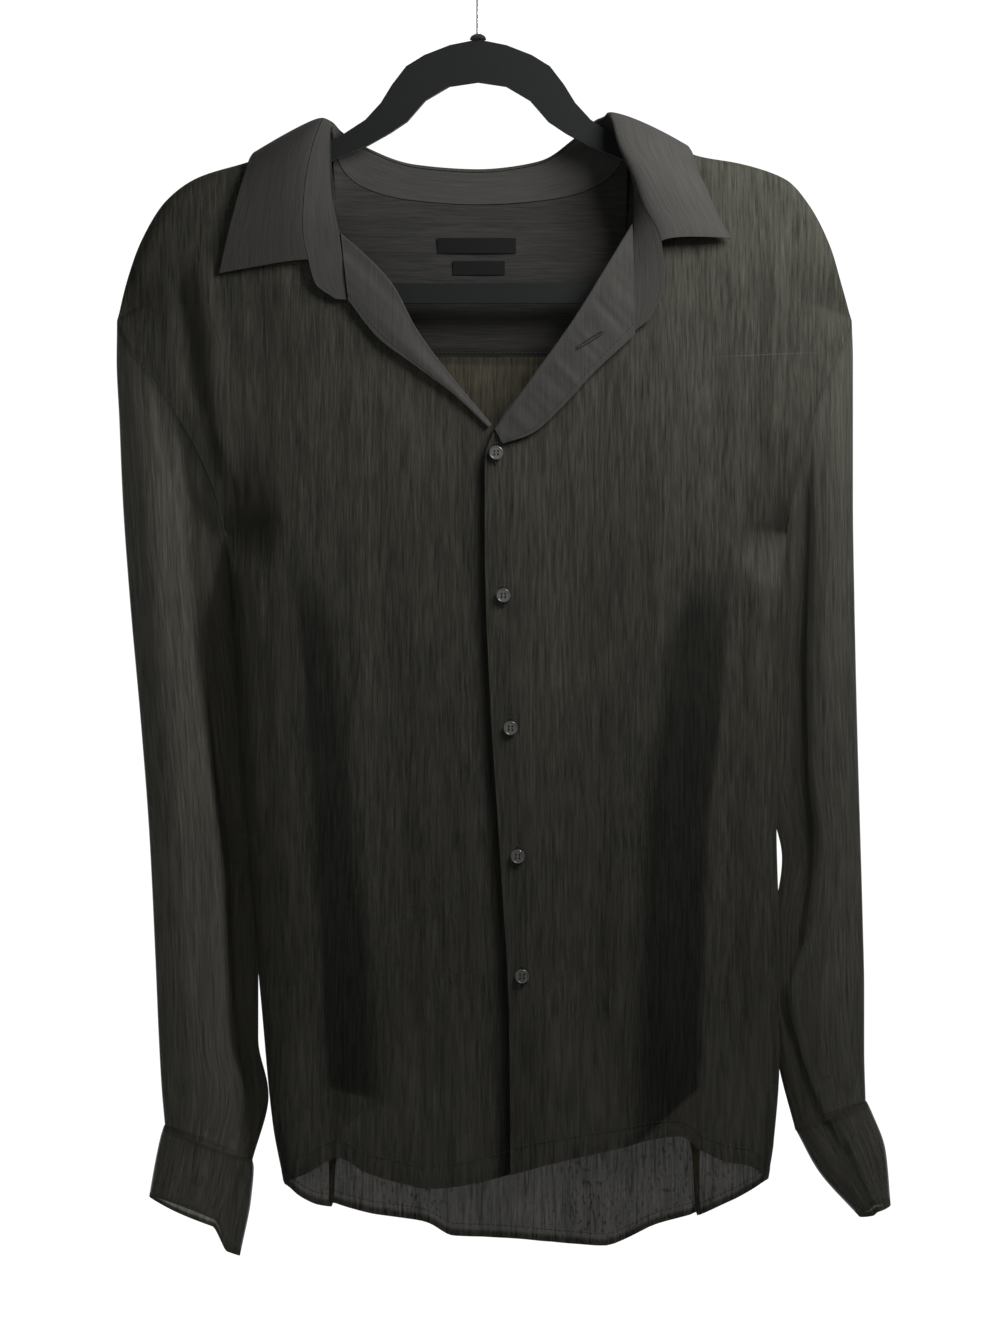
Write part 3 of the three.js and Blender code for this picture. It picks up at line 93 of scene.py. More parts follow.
frontEdge = {
    "right": makeTable("t x z", [
        [0, -104, -136.5], [0.05, -104, -152], [0.1, -102, -176], [0.16, -97, -212], [0.2, -79, -229],
        [0.24, -60, -250], [0.28, -44, -280], [0.32, -24, -308], [0.36, 6, -345], [0.4, 27, -368],
        [0.44, 31, -392], [0.52, 30, -455], [0.65, 33, -555], [0.78, 41, -665], [0.9, 47, -775],
        [1, 48, -869]]),
    "left": makeTable("t x z", [
        [0, 107, -136.5], [0.05, 109, -150], [0.1, 110, -168], [0.15, 111, -186], [0.2, 109, -206],
        [0.25, 91, -236], [0.3, 67, -275], [0.35, 40, -313], [0.4, 12, -351], [0.44, 5, -374],
        [0.52, 5, -437], [0.65, 9, -546], [0.78, 16, -655], [0.9, 22, -768], [1, 23, -874]]),
}
frontHem = makeTable("t z", [
    [-137, -882], [-118, -873], [-98, -863], [-80, -873], [-58, -880], [-33, -885], [-6, -882],
    [22, -875], [48, -868], [102, -856], [124, -850], [142, -848], [157, -858], [175, -866],
    [191, -869], [205, -880]])
backHem = makeTable("t z", [
    [-137, -884], [-117, -898], [-99, -902], [-79, -909], [-41, -915], [-16, -926], [13, -927],
    [50, -930], [93, -933], [107, -930], [120, -920], [147, -912], [178, -897], [205, -881]])
backNeck = makeTable("t x y z", [
    [0, -104, 0.2, -136.5], [0.04, -103, 6, -143], [0.1, -100, 11, -158], [0.2, -85, 16, -174],
    [0.34, -50, 20, -184], [0.5, 0, 22, -187], [0.66, 50, 20, -184], [0.8, 84, 16, -175],
    [0.9, 102, 11, -159], [0.96, 106, 6, -143], [1, 107, 0.2, -136.5]])
# Long folds of the back: x of their edges against height, where they start and are full
backFolds = {
    "right": {
        "inner": makeTable("t x", [[-830, -70], [-739, -73], [-630, -87], [-521, -95], [-425, -112]]),
        "outer": makeTable("t x", [[-830, -106], [-739, -111], [-630, -118], [-521, -123], [-425, -136]]),
        "start": -390.0, "full": -660.0, "rise": 80.0},
    "left": {
        "inner": makeTable("t x", [[-830, 114], [-684, 115], [-576, 123], [-466, 142], [-400, 160]]),
        "outer": makeTable("t x", [[-830, 158], [-684, 161], [-576, 170], [-466, 180], [-400, 190]]),
        "start": -370.0, "full": -640.0, "rise": 90.0},
}
# Soft folds of the fronts: where they run, how wide and how deep
frontFolds = makeTable("x0 z0 x1 z1 width depth", [
    [-196, -215, -176, -400, 9, 3.4], [-214, -235, -196, -350, 7, -2.6],
    [-128, -300, -112, -800, 26, 3.2], [-58, -470, -52, -850, 18, -2.6],
    [74, -400, 66, -820, 20, -2.4], [132, -250, 126, -860, 24, 3],
    [186, -420, 178, -850, 12, -2.8], [212, -205, 206, -390, 8, 3.2]])
# Finer creases that only show: the same columns
frontCreases = makeTable("x0 z0 x1 z1 width depth", [
    [-150, -170, -118, -330, 10, 0.9], [-176, -190, -150, -300, 7, -0.8], [-92, -310, -84, -560, 9, 0.7],
    [-148, -470, -132, -700, 7, 0.9], [-30, -420, -24, -640, 8, -0.6], [-10, -560, 4, -840, 6, 0.7],
    [30, -520, 34, -800, 7, 0.6], [52, -470, 46, -690, 6, -0.6], [100, -560, 96, -850, 9, 0.8],
    [150, -190, 160, -330, 9, -0.9], [178, -200, 196, -320, 8, 0.8], [160, -470, 156, -690, 7, 0.8],
    [196, -560, 192, -840, 6, 0.8], [118, -300, 112, -430, 7, 0.6], [-100, -640, -94, -850, 8, -0.7]])
sleeveNames = "t ox oz ix iz fold recess set half"
sleeveRings = {
    "right": makeTable(sleeveNames, [
        [0, -256.1, -272.1, -179.1, -423.1, 0.55, 0, 0, 15],
        [0.05, -256.4, -300, -177.5, -434, 0.55, 0.15, 5, 16],
        [0.12, -254.5, -342, -173, -455, 0.55, 0.4, 10, 18],
        [0.22, -252, -400, -171, -490, 0.55, 0.6, 11, 19],
        [0.36, -247, -470, -165, -545, 0.57, 0.75, 12, 19],
        [0.5, -239, -560, -160, -610, 0.62, 0.8, 12, 18],
        [0.63, -233, -640, -156, -670, 0.68, 0.8, 12, 17],
        [0.76, -229, -722, -157, -732, 0.72, 0.8, 11, 16],
        [0.85, -226.5, -780, -157, -783, 0.74, 0.75, 10, 15],
        [0.93, -224.5, -816, -149.5, -824, 0.8, 0.6, 8, 14],
        [1, -222, -844.5, -161, -869.7, 0.85, 0.3, 4, 13]]),
    "left": makeTable(sleeveNames, [
        [0, 265.1, -272.1, 219.1, -423.1, 0.55, 0, 0, 15],
        [0.05, 266, -300, 217.5, -434, 0.55, 0.15, 5, 16],
        [0.12, 266, -342, 214, -455, 0.55, 0.4, 10, 18],
        [0.22, 266, -400, 212, -490, 0.57, 0.6, 11, 19],
        [0.36, 267, -470, 208, -545, 0.57, 0.8, 12, 19],
        [0.5, 269, -560, 207, -605, 0.56, 0.8, 12, 18],
        [0.63, 271, -630, 217, -655, 0.6, 0.8, 11, 17],
        [0.76, 273, -700, 209, -714, 0.64, 0.75, 12, 16],
        [0.85, 274, -748, 208, -757, 0.82, 0.6, 12, 15],
        [0.93, 274, -790, 214, -800, 0.74, 0.4, 8, 14],
        [1, 275, -827.5, 226, -847.7, 0.6, 0.2, 4, 13]]),
}
cuffRings = {
    "right": makeTable(sleeveNames + " drop", [
        [0, -222.3, -843.5, -161, -868.7, 0.85, 0.3, 4, 13, 0],
        [0.1, -224.5, -850, -160, -874, 0.8, 0.3, 4, 13, 0],
        [0.5, -229, -871, -162, -893, 0.77, 0.35, 5, 14, 4],
        [1, -233, -894, -170, -922, 0.76, 0.4, 6, 14, 15]]),
    "left": makeTable(sleeveNames + " drop", [
        [0, 275.3, -826.5, 226.3, -846.7, 0.6, 0.2, 4, 13, 0],
        [0.1, 279, -834, 229, -852, 0.56, 0.2, 3, 13, 0],
        [0.5, 289, -862, 243, -877, 0.5, 0.2, 2, 14, 0],
        [1, 292.5, -900, 271, -906, 0.5, 0.1, 0, 13, 2]]),
}
# Collar stations: n is the neck seam, s the seam of stand and leaf, e the leaf's free edge
collarStations = makeTable("t nx ny nz sx sy sz ex ey ez roll", [
    [0, -92.5, -22, -260, -100, -22.6, -259.5, 0, 0, 0, 0],
    [0.025, -93.2, -21, -249, -114, -23, -249, 0, 0, 0, 0],
    [0.055, -94.6, -20, -236, -119, -23, -232, -182, -18.5, -241, 4],
    [0.12, -98, -18.8, -211, -123, -22.5, -208, -176, -18.5, -214, 4],
    [0.18, -103, -15.4, -186, -122, -20.5, -182, -169, -16, -186, 5],
    [0.22, -105, -12.6, -163, -118, -17, -157, -164.5, -12, -170, 6],
    [0.255, -105, -10, -143, -113, -12, -139, -161, -5, -157, 5],
    [0.28, -103.5, -1, -134, -109, -2, -129.5, -157, 3, -152, 3],
    [0.305, -103.4, 6.4, -142, -104, 7, -131, -149, 12, -158, 4],
    [0.33, -100, 11.2, -157.2, -97, 12.4, -138, -136, 20, -174, 6],
    [0.38, -85, 16.2, -173.3, -77, 18, -150, -106, 27, -199, 8],
    [0.44, -50, 20.2, -183.4, -44, 22.4, -160.5, -58, 31, -210, 8],
    [0.5, 0, 22.1, -186.5, 0, 24, -163.5, 0, 33, -213, 8],
    [0.56, 50, 20.2, -183.4, 43, 22.4, -158, 60, 31, -208, 8],
    [0.62, 84, 16.2, -174.3, 68, 18, -143, 108, 27, -194, 8],
    [0.67, 102, 11.2, -158.2, 85, 11, -130, 134, 20, -170, 7],
    [0.695, 106.2, 6.4, -142, 90, 5, -129, 141, 11, -154, 6],
    [0.72, 106.7, -1, -134, 93, -4, -127.5, 147, 2, -147.5, 6],
    [0.745, 109.5, -10, -143, 96, -13, -135, 151, -6, -153, 7],
    [0.775, 111, -12.6, -159, 99, -19, -150, 155, -12.5, -167, 7],
    [0.82, 113, -15.6, -178, 107, -25, -170, 161, -16, -181, 7],
    [0.88, 112.6, -18.8, -203, 116, -28, -194, 169, -18.5, -200, 6],
    [0.945, 111.6, -21.4, -234, 128.5, -29, -220, 178, -20, -216.5, 5],
    [0.975, 112, -23, -258, 131, -27, -250, 0, 0, 0, 0],
    [1, 112.8, -23.6, -282, 121, -25, -274, 0, 0, 0, 0]])
leafEnds = (0.055, 0.945)
backStations = (0.28, 0.72)
turnedBands = {
    "right": {
        "roll": makeTable("t x z", [
            [0, -96.5, -214], [0.18, -79, -229.5], [0.36, -60, -250.5], [0.55, -44, -280.5],
            [0.74, -24, -308.5], [1, 9, -348.5]]),
        "outer": makeTable("t x z", [
            [0, -91, -260.5], [0.3, -70, -287], [0.55, -46, -305], [0.8, -18, -326], [1, 7.5, -349.8]]),
        "lift": makeTable("t y", [[0, 3.2], [0.6, 3.4], [1, 1.2]]),
    },
    "left": {
        "roll": makeTable("t x z", [
            [0, 109, -207], [0.22, 91, -237], [0.48, 67, -276], [0.74, 40, -314], [1, 12.5, -352]]),
        "outer": makeTable("t x z", [
            [0, 110.6, -284.5], [0.2, 97, -297], [0.42, 81, -312], [0.64, 61, -334],
            [0.84, 37, -355], [1, 17.5, -361.5]]),
        "lift": makeTable("t y", [[0, 3.6], [0.6, 3.4], [1, 1.6]]),
    },
}


# a plus share of the way to b
def mix(a, b, share):
    return a + (b - a) * share


# Smooth step: 3v^2 - 2v^3 of the value held between 0 and 1
def smooth(value):
    v = np.clip(value, 0, 1)
    return v * v * (3 - 2 * v)


# Quarter circle: the root of 1 - (1 - v)^2
def quarterRound(value):
    return np.sqrt(1 - (1 - np.clip(value, 0, 1)) ** 2)


# Lens section: sine over half a turn, to the power 0.6
def lensShape(share):
    return np.abs(np.sin(np.pi * np.clip(share, 0, 1))) ** 0.6


# Vectors along the last axis brought to length one
def unit(vectors):
    return vectors / np.maximum(np.linalg.norm(vectors, axis=-1, keepdims=True), 1e-9)


# Distance gone along a path at each of its points
def goneAlong(path):
    return np.concatenate([[0], np.cumsum(np.linalg.norm(np.diff(path, axis=0), axis=1))])


# Monotone cubic through a table's column: Hermite cubic with the harmonic mean of slopes
def valueAt(table, column, t):
    times, values = table["t"], table[column]
    held = np.clip(np.asarray(t, float), times[0], times[-1])
    row = np.clip(np.searchsorted(times, held, side="right") - 1, 0, len(times) - 2)
    slopes = np.diff(values) / np.diff(times)
    before, after = slopes[:-1], slopes[1:]
    same = before * after > 0
    inner = np.where(same, 2 * before * after / np.where(same, before + after, 1), 0)
    tangents = np.concatenate([slopes[:1], inner, slopes[-1:]])
    span = times[row + 1] - times[row]
    s = (held - times[row]) / span
    start = (2 * s**3 - 3 * s**2 + 1) * values[row]
    end = (3 * s**2 - 2 * s**3) * values[row + 1]
    turnOut = (s**3 - 2 * s**2 + s) * span * tangents[row]
    turnIn = (s**3 - s**2) * span * tangents[row + 1]
    return start + end + turnOut + turnIn


# Monotone cubic along the second axis of an array of knots, at knot positions `at`
def resample(knots, at):
    slopes = np.diff(knots, axis=1)
    before, after = slopes[:, :-1], slopes[:, 1:]
    same = before * after > 0
    inner = np.where(same, 2 * before * after / np.where(same, before + after, 1), 0)
    tangents = np.concatenate([slopes[:, :1], inner, slopes[:, -1:]], axis=1)
    row = np.clip(np.floor(at).astype(int), 0, knots.shape[1] - 2)
    s = (at - row)[None, :]
    start = (2 * s**3 - 3 * s**2 + 1) * knots[:, row]
    end = (3 * s**2 - 2 * s**3) * knots[:, row + 1]
    return start + end + (s**3 - 2 * s**2 + s) * tangents[:, row] + (s**3 - s**2) * tangents[:, row + 1]


# Nearest distance to a table's curve, over 48 straight steps, and the t where it is nearest
def nearestOn(table, x, z):
    steps = 48
    t = np.linspace(0, 1, steps + 1)
    px, pz = valueAt(table, "x", t), valueAt(table, "z", t)
    runX, runZ = np.diff(px), np.diff(pz)
    shape = np.shape(x)
    fx, fz = np.ravel(x)[:, None], np.ravel(z)[:, None]
    share = np.clip(((fx - px[:-1]) * runX + (fz - pz[:-1]) * runZ) / (runX**2 + runZ**2), 0, 1)
    distance = np.hypot(fx - px[:-1] - runX * share, fz - pz[:-1] - runZ * share)
    best = np.argmin(distance, axis=1)
    pick = np.arange(len(best))
    return distance[pick, best].reshape(shape), ((best + share[pick, best]) / steps).reshape(shape)


# How far the side fold leans forward below the underarm
def sideLean(z):
    return -sideRounding["lean"] * smooth((underarm["z"] - z) / sideRounding["leanReach"])


# Sum of long soft folds: each a bell across its line, faded at both ends
def foldDepth(folds, x, z):
    depth = np.zeros(np.shape(x))
    for x0, z0, x1, z1, width, deep in zip(*(folds[k] for k in ("x0", "z0", "x1", "z1", "width", "depth"))):
        share = (z - z0) / (z1 - z0)
        middle = mix(x0, x1, np.clip(share, 0, 1))
        fade = smooth(share / 0.2) * smooth((1 - share) / 0.2)
        depth = depth + deep * fade * np.exp(-(((x - middle) / width) ** 2))
    return depth


# Uneven upright ripples: a sum of sines of x, each drifting slowly with z
def ripples(x, z, seed, pitch=14.0, height=0.22):
    rng = np.random.default_rng(seed)
    total = np.zeros(np.shape(x))
    for scale in (0.6, 0.8, 1.0, 1.35, 1.9):
        drift = 0.9 * np.sin(z / rng.uniform(70, 160) + rng.uniform(0, 6.3))
        phase = 2 * np.pi * x / (pitch * scale) + 2 * drift + rng.uniform(0, 6.3)
        swell = 0.6 + 0.4 * np.sin(z / rng.uniform(40, 110) + x / 60 + rng.uniform(0, 6.3))
        total = total + height * scale * swell * np.sin(phase) / 2
    return total


# Half depth of the body: thin over the shoulder, fuller below, blended to the armhole's depth
def bodyHalfDepth(side, x, z):
    below, _ = nearestOn(shoulderFold[side], x, z)
    full = bodyDepth["top"] + bodyDepth["gain"] * (1 - np.exp(-below / bodyDepth["reach"]))
    free = full * quarterRound(below / bodyDepth["rounding"])
    distance, t = nearestOn(armhole[side], x, z)
    return mix(armholeDepth * lensShape(t), free, smooth(distance / bodyDepth["armholeReach"]))


# How far front and back part at the underarm
def underarmEase(side, x, z):
    under = (armhole[side]["x"][-1], armhole[side]["z"][-1])
    return underarm["ease"] * np.exp(-((np.hypot(x - under[0], z - under[1]) / underarm["reach"]) ** 2))


# Y of the front's cloth: the side's lean near the side fold, minus the half depth and folds elsewhere
def frontY(side, x, z, fine=False):
    half = bodyHalfDepth(side, x, z)
    edge, _ = nearestOn(sideFold[side], x, z)
    shoulder, _ = nearestOn(shoulderFold[side], x, z)
    seam, _ = nearestOn(armhole[side], x, z)
    share = smooth(edge / 30) * smooth(shoulder / 30) * smooth(seam / 20)
    folds = foldDepth(frontFolds, x, z)
    if fine:
        folds = folds + foldDepth(frontCreases, x, z) + ripples(x, z, 11)
    flat = -half - folds * share
    opened = quarterRound(edge / sideRounding["front"])
    return mix(sideLean(z), flat, opened) - seamGap / 2 - underarmEase(side, x, z)


# Y of the back's cloth: it rounds out from the side fold more slowly than the front
def backY(side, x, z):
    half = bodyHalfDepth(side, x, z)
    edge, _ = nearestOn(sideFold[side], x, z)
    opened = mix(1 - np.exp(-((edge / sideRounding["back"]) ** 1.6)), quarterRound(edge / 3), 0.12)
    return mix(sideLean(z), half, opened) + seamGap / 2 + underarmEase(side, x, z)


# How far a place lies past the top front's edge, towards the wearer's left
def pastTopEdge(x, z):
    edge = frontEdge["left"]
    return x - valueAt({"t": edge["z"][::-1], "x": edge["x"][::-1]}, "x", z)


# How far the top front stands off the under one, near its edge
def frontLift(x, z):
    nearEdge = 1 - smooth((pastTopEdge(x, z) - frontLap["flat"]) / frontLap["reach"])
    return frontLap["lift"] * nearEdge * smooth((frontLap["top"] - z) / frontLap["topReach"])


# Stacks x, y, z arrays in millimetres into one array of points
def stack(x, y, z):
    return np.stack(np.broadcast_arrays(x, y, z), axis=-1).astype(float)


# Normals of a grid: cross product of its two central differences, wrapped where it is round
def gridNormals(points, closedRound):
    if closedRound:
        across = np.roll(points, -1, axis=1) - np.roll(points, 1, axis=1)
    else:
        across = np.gradient(points, axis=1)
    return unit(np.cross(across, np.gradient(points, axis=0)))


# A mesh object from vertices and quads, with UV in metres and, for each vertex, a value of density and
# painted shade
def meshObject(name, vertices, faces, material, uv=None, denseAndShade=None, angle=50):
    mesh = bpy.data.meshes.new(name)
    faces = np.asarray(faces, np.int32)
    corners = faces.shape[1]
    mesh.vertices.add(len(vertices))
    mesh.vertices.foreach_set("co", np.ascontiguousarray(vertices, np.float32).ravel())
    mesh.loops.add(faces.size)
    mesh.loops.foreach_set("vertex_index", faces.ravel())
    mesh.polygons.add(len(faces))
    mesh.polygons.foreach_set("loop_start", np.arange(0, faces.size, corners, dtype=np.int32))
    mesh.update(calc_edges=True)
    mesh.validate()
    if uv is not None:
        layer = mesh.uv_layers.new(name="clothUV")
        layer.data.foreach_set("uv", np.ascontiguousarray(uv[faces.ravel()], np.float32).ravel())
    density = mesh.attributes.new("denseAndShade", "FLOAT", "POINT")
    values = np.zeros(len(vertices), np.float32) if denseAndShade is None else denseAndShade
    density.data.foreach_set("value", np.ascontiguousarray(values, np.float32))
    mesh.shade_smooth()
    mesh.set_sharp_from_angle(angle=math.radians(angle))
    mesh.materials.append(material)
    obj = bpy.data.objects.new(name, mesh)
    bpy.context.scene.collection.objects.link(obj)
    return obj


# A closed shell: the grid's points moved half the thickness out and in along their normals
def shell(name, points, material, thickness=clothThickness, closedRound=False, uv=None, denseAndShade=None):
    rowCount, columnCount = points.shape[:2]
    normals = gridNormals(points, closedRound)
    half = np.broadcast_to(np.asarray(thickness, float) / 2, (rowCount, columnCount))[..., None]
    outer, inner = points + normals * half, points - normals * half
    index = np.arange(rowCount * columnCount).reshape(rowCount, columnCount)
    if closedRound:
        index = np.concatenate([index, index[:, :1]], axis=1)
    a, b, c, d = index[:-1, :-1], index[:-1, 1:], index[1:, 1:], index[1:, :-1]
    front = np.stack([a, b, c, d], axis=-1).reshape(-1, 4)
    shift = rowCount * columnCount
    back = front[:, ::-1] + shift
    walls = [wall(index[0], shift, True), wall(index[-1], shift, False)]
    if not closedRound:
        walls += [wall(index[:, 0], shift, False), wall(index[:, -1], shift, True)]
    faces = np.concatenate([front, back] + walls)
    vertices = np.concatenate([outer.reshape(-1, 3), inner.reshape(-1, 3)]) * 0.001
    p, q, r, s = (vertices[faces[:, k]] for k in range(4))
    volume = np.einsum("ij,ij->", p, np.cross(q, r)) + np.einsum("ij,ij->", p, np.cross(r, s))
    if volume < 0:
        faces = faces[:, ::-1]
    if uv is None:
        uv = np.stack([points[..., 0], points[..., 2]], axis=-1)
    flatUV = np.tile(uv.reshape(-1, 2) * 0.001, (2, 1))
    if denseAndShade is not None:
        denseAndShade = np.tile(np.broadcast_to(denseAndShade, (rowCount, columnCount)).ravel(), 2)
    return meshObject(name, vertices, faces, material, flatUV, denseAndShade)


# Quads that join an outer border line to the inner one
def wall(line, shift, turned):
    quads = np.stack([line[:-1], line[1:], line[1:] + shift, line[:-1] + shift], axis=-1)
    return quads[:, ::-1] if turned else quads


# Directions of a ring across each axis, at even turns
def ringAround(axis, sides):
    helper = np.where(np.abs(axis[:, 1:2]) < 0.9, [[0.0, 1.0, 0.0]], [[1.0, 0.0, 0.0]])
    side = unit(np.cross(axis, helper))
    up = np.cross(side, axis)
    turn = np.linspace(0, 2 * np.pi, sides, endpoint=False)
    return np.cos(turn)[None, :, None] * side[:, None] + np.sin(turn)[None, :, None] * up[:, None]


# A round tube of even radius along points, closed by its end rings' caps as fans of quads
def tubeAlong(name, path, radius, material, sides=10, closedLoop=False):
    path = np.asarray(path, float)
    if closedLoop:
        tangent = np.roll(path, -1, axis=0) - np.roll(path, 1, axis=0)
    else:
        tangent = np.gradient(path, axis=0)
    ring = path[:, None] + radius * ringAround(unit(tangent), sides)
    rowCount = len(path)
    index = np.arange(rowCount * sides).reshape(rowCount, sides)
    index = np.concatenate([index, index[:, :1]], axis=1)
    if closedLoop:
        index = np.concatenate([index, index[:1]], axis=0)
    corners = [index[:-1, :-1], index[1:, :-1], index[1:, 1:], index[:-1, 1:]]
    faces = np.stack(corners, axis=-1).reshape(-1, 4)
    vertices = ring.reshape(-1, 3)
    if not closedLoop:
        pairs = np.arange(0, sides, 2)
        beside, beyond = pairs + 1, (pairs + 2) % sides
        for end, turns in ((0, (pairs, beside, beyond)), (-1, (beyond, beside, pairs))):
            centre = np.full(len(pairs), len(vertices))
            cap = np.stack([centre] + [index[end][turn] for turn in turns], axis=-1)
            vertices, faces = np.concatenate([vertices, path[end][None]]), np.concatenate([faces, cap])
    return meshObject(name, vertices * 0.001, faces, material, angle=60)


# Stitches along a path: small six-sided dashes of one length and pitch, seated on the cloth
def stitchRow(name, path, material, pitch=3.2, length=2.2, radius=0.22):
    path = np.asarray(path, float)
    gone = goneAlong(path)
    count = max(2, int(gone[-1] / pitch))
    centres = (np.arange(count) + 0.5) * gone[-1] / count
    at = lambda s: np.stack([np.interp(s, gone, path[:, k]) for k in range(3)], axis=-1)
    start, end = at(centres - length / 2), at(centres + length / 2)
    around = ringAround(unit(end - start), 6)
    rings = [(start, 0.45), (mix(start, end, 0.2), 1.0), (mix(start, end, 0.8), 1.0), (end, 0.45)]
    vertices = np.stack([centre[:, None] + around * radius * grow for centre, grow in rings], axis=1)
    base = (np.arange(count) * 24)[:, None]
    k = np.arange(6)
    oneRing = np.stack([k, 6 + k, 6 + (k + 1) % 6, (k + 1) % 6], axis=-1)
    tubeFaces = np.concatenate([oneRing, oneRing + 6, oneRing + 12])
    caps = np.array([[0, 1, 2, 3], [0, 3, 4, 5], [21, 20, 19, 18], [23, 22, 21, 18]])
    faces = np.concatenate([tubeFaces, caps])
    allFaces = (faces[None] + base[:, :, None]).reshape(-1, 4)
    return meshObject(name, vertices.reshape(-1, 3) * 0.001, allFaces, material, angle=60)


# Rides a piece on the one body and hides the nodes that it stands for
def place(piece, slot, *nodes):
    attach(piece, "root")
    if nodes:
        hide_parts(*nodes)
    return piece


# A group with named outputs and inputs, ready for nodes
def newGroup(name, inputs, outputs):
    group = bpy.data.node_groups.new(name, "ShaderNodeTree")
    for label, kind, value in inputs:
        socket = group.interface.new_socket(label, in_out="INPUT", socket_type=kind)
        if value is not None:
            socket.default_value = value
    for label, kind in outputs:
        group.interface.new_socket(label, in_out="OUTPUT", socket_type=kind)
    return group, group.nodes.new("NodeGroupInput"), group.nodes.new("NodeGroupOutput")


# A math node on two values or sockets
def mathNode(tree, operation, first, second=None, third=None, clamp=False):
    node = tree.nodes.new("ShaderNodeMath")
    node.operation = operation
    node.use_clamp = clamp
    for k, value in enumerate((first, second, third)):
        if value is None:
            continue
        if isinstance(value, (int, float)):
            node.inputs[k].default_value = value
        else:
            tree.links.new(value, node.inputs[k])
    return node.outputs[0]


# A noise value on a vector stretched by its own scale
def stretchedNoise(tree, vector, scale, detail=2.0, roughness=0.5):
    stretch = tree.nodes.new("ShaderNodeVectorMath")
    stretch.operation = "MULTIPLY"
    tree.links.new(vector, stretch.inputs[0])
    stretch.inputs[1].default_value = scale
    noise = tree.nodes.new("ShaderNodeTexNoise")
    noise.inputs["Scale"].default_value = 1.0
    noise.inputs["Detail"].default_value = detail
    noise.inputs["Roughness"].default_value = roughness
    tree.links.new(stretch.outputs[0], noise.inputs["Vector"])
    return noise.outputs["Fac"]


# Maps a value from one range to another, held inside
def rangeNode(tree, value, low, high, toLow, toHigh):
    node = tree.nodes.new("ShaderNodeMapRange")
    node.inputs["From Min"].default_value = low
    node.inputs["From Max"].default_value = high
    node.inputs["To Min"].default_value = toLow
    node.inputs["To Max"].default_value = toHigh
    tree.links.new(value, node.inputs["Value"])
    return node.outputs["Result"]


# Crinkled crepe: fine uneven ridges along V under broader waves, thin where they are high, with
# long dark lines where a slow noise passes its middle, and small dark flecks that grow downwards,
# which also paints shade on the lower part; the dense-and-shade value closes the weave and darkens
# it, for doubled cloth and for painted shade. Scales are per metre across and along V
crinkleLook = {"fine": (1150, 60, 1), "ridge": (520, 26, 1), "broad": (70, 7, 1), "fleck": (430, 210, 1),
               "line": (150, 7, 1), "cloud": (11, 8, 1), "lineHalf": 0.03, "lineShade": 0.6,
               "lineCover": 0.12, "streak": (0.365, 0.635), "spot": (0.56, 0.68), "spotShade": -0.6,
               "fleckCover": 0.16, "denseShade": -1.1, "leastShade": 0.25}


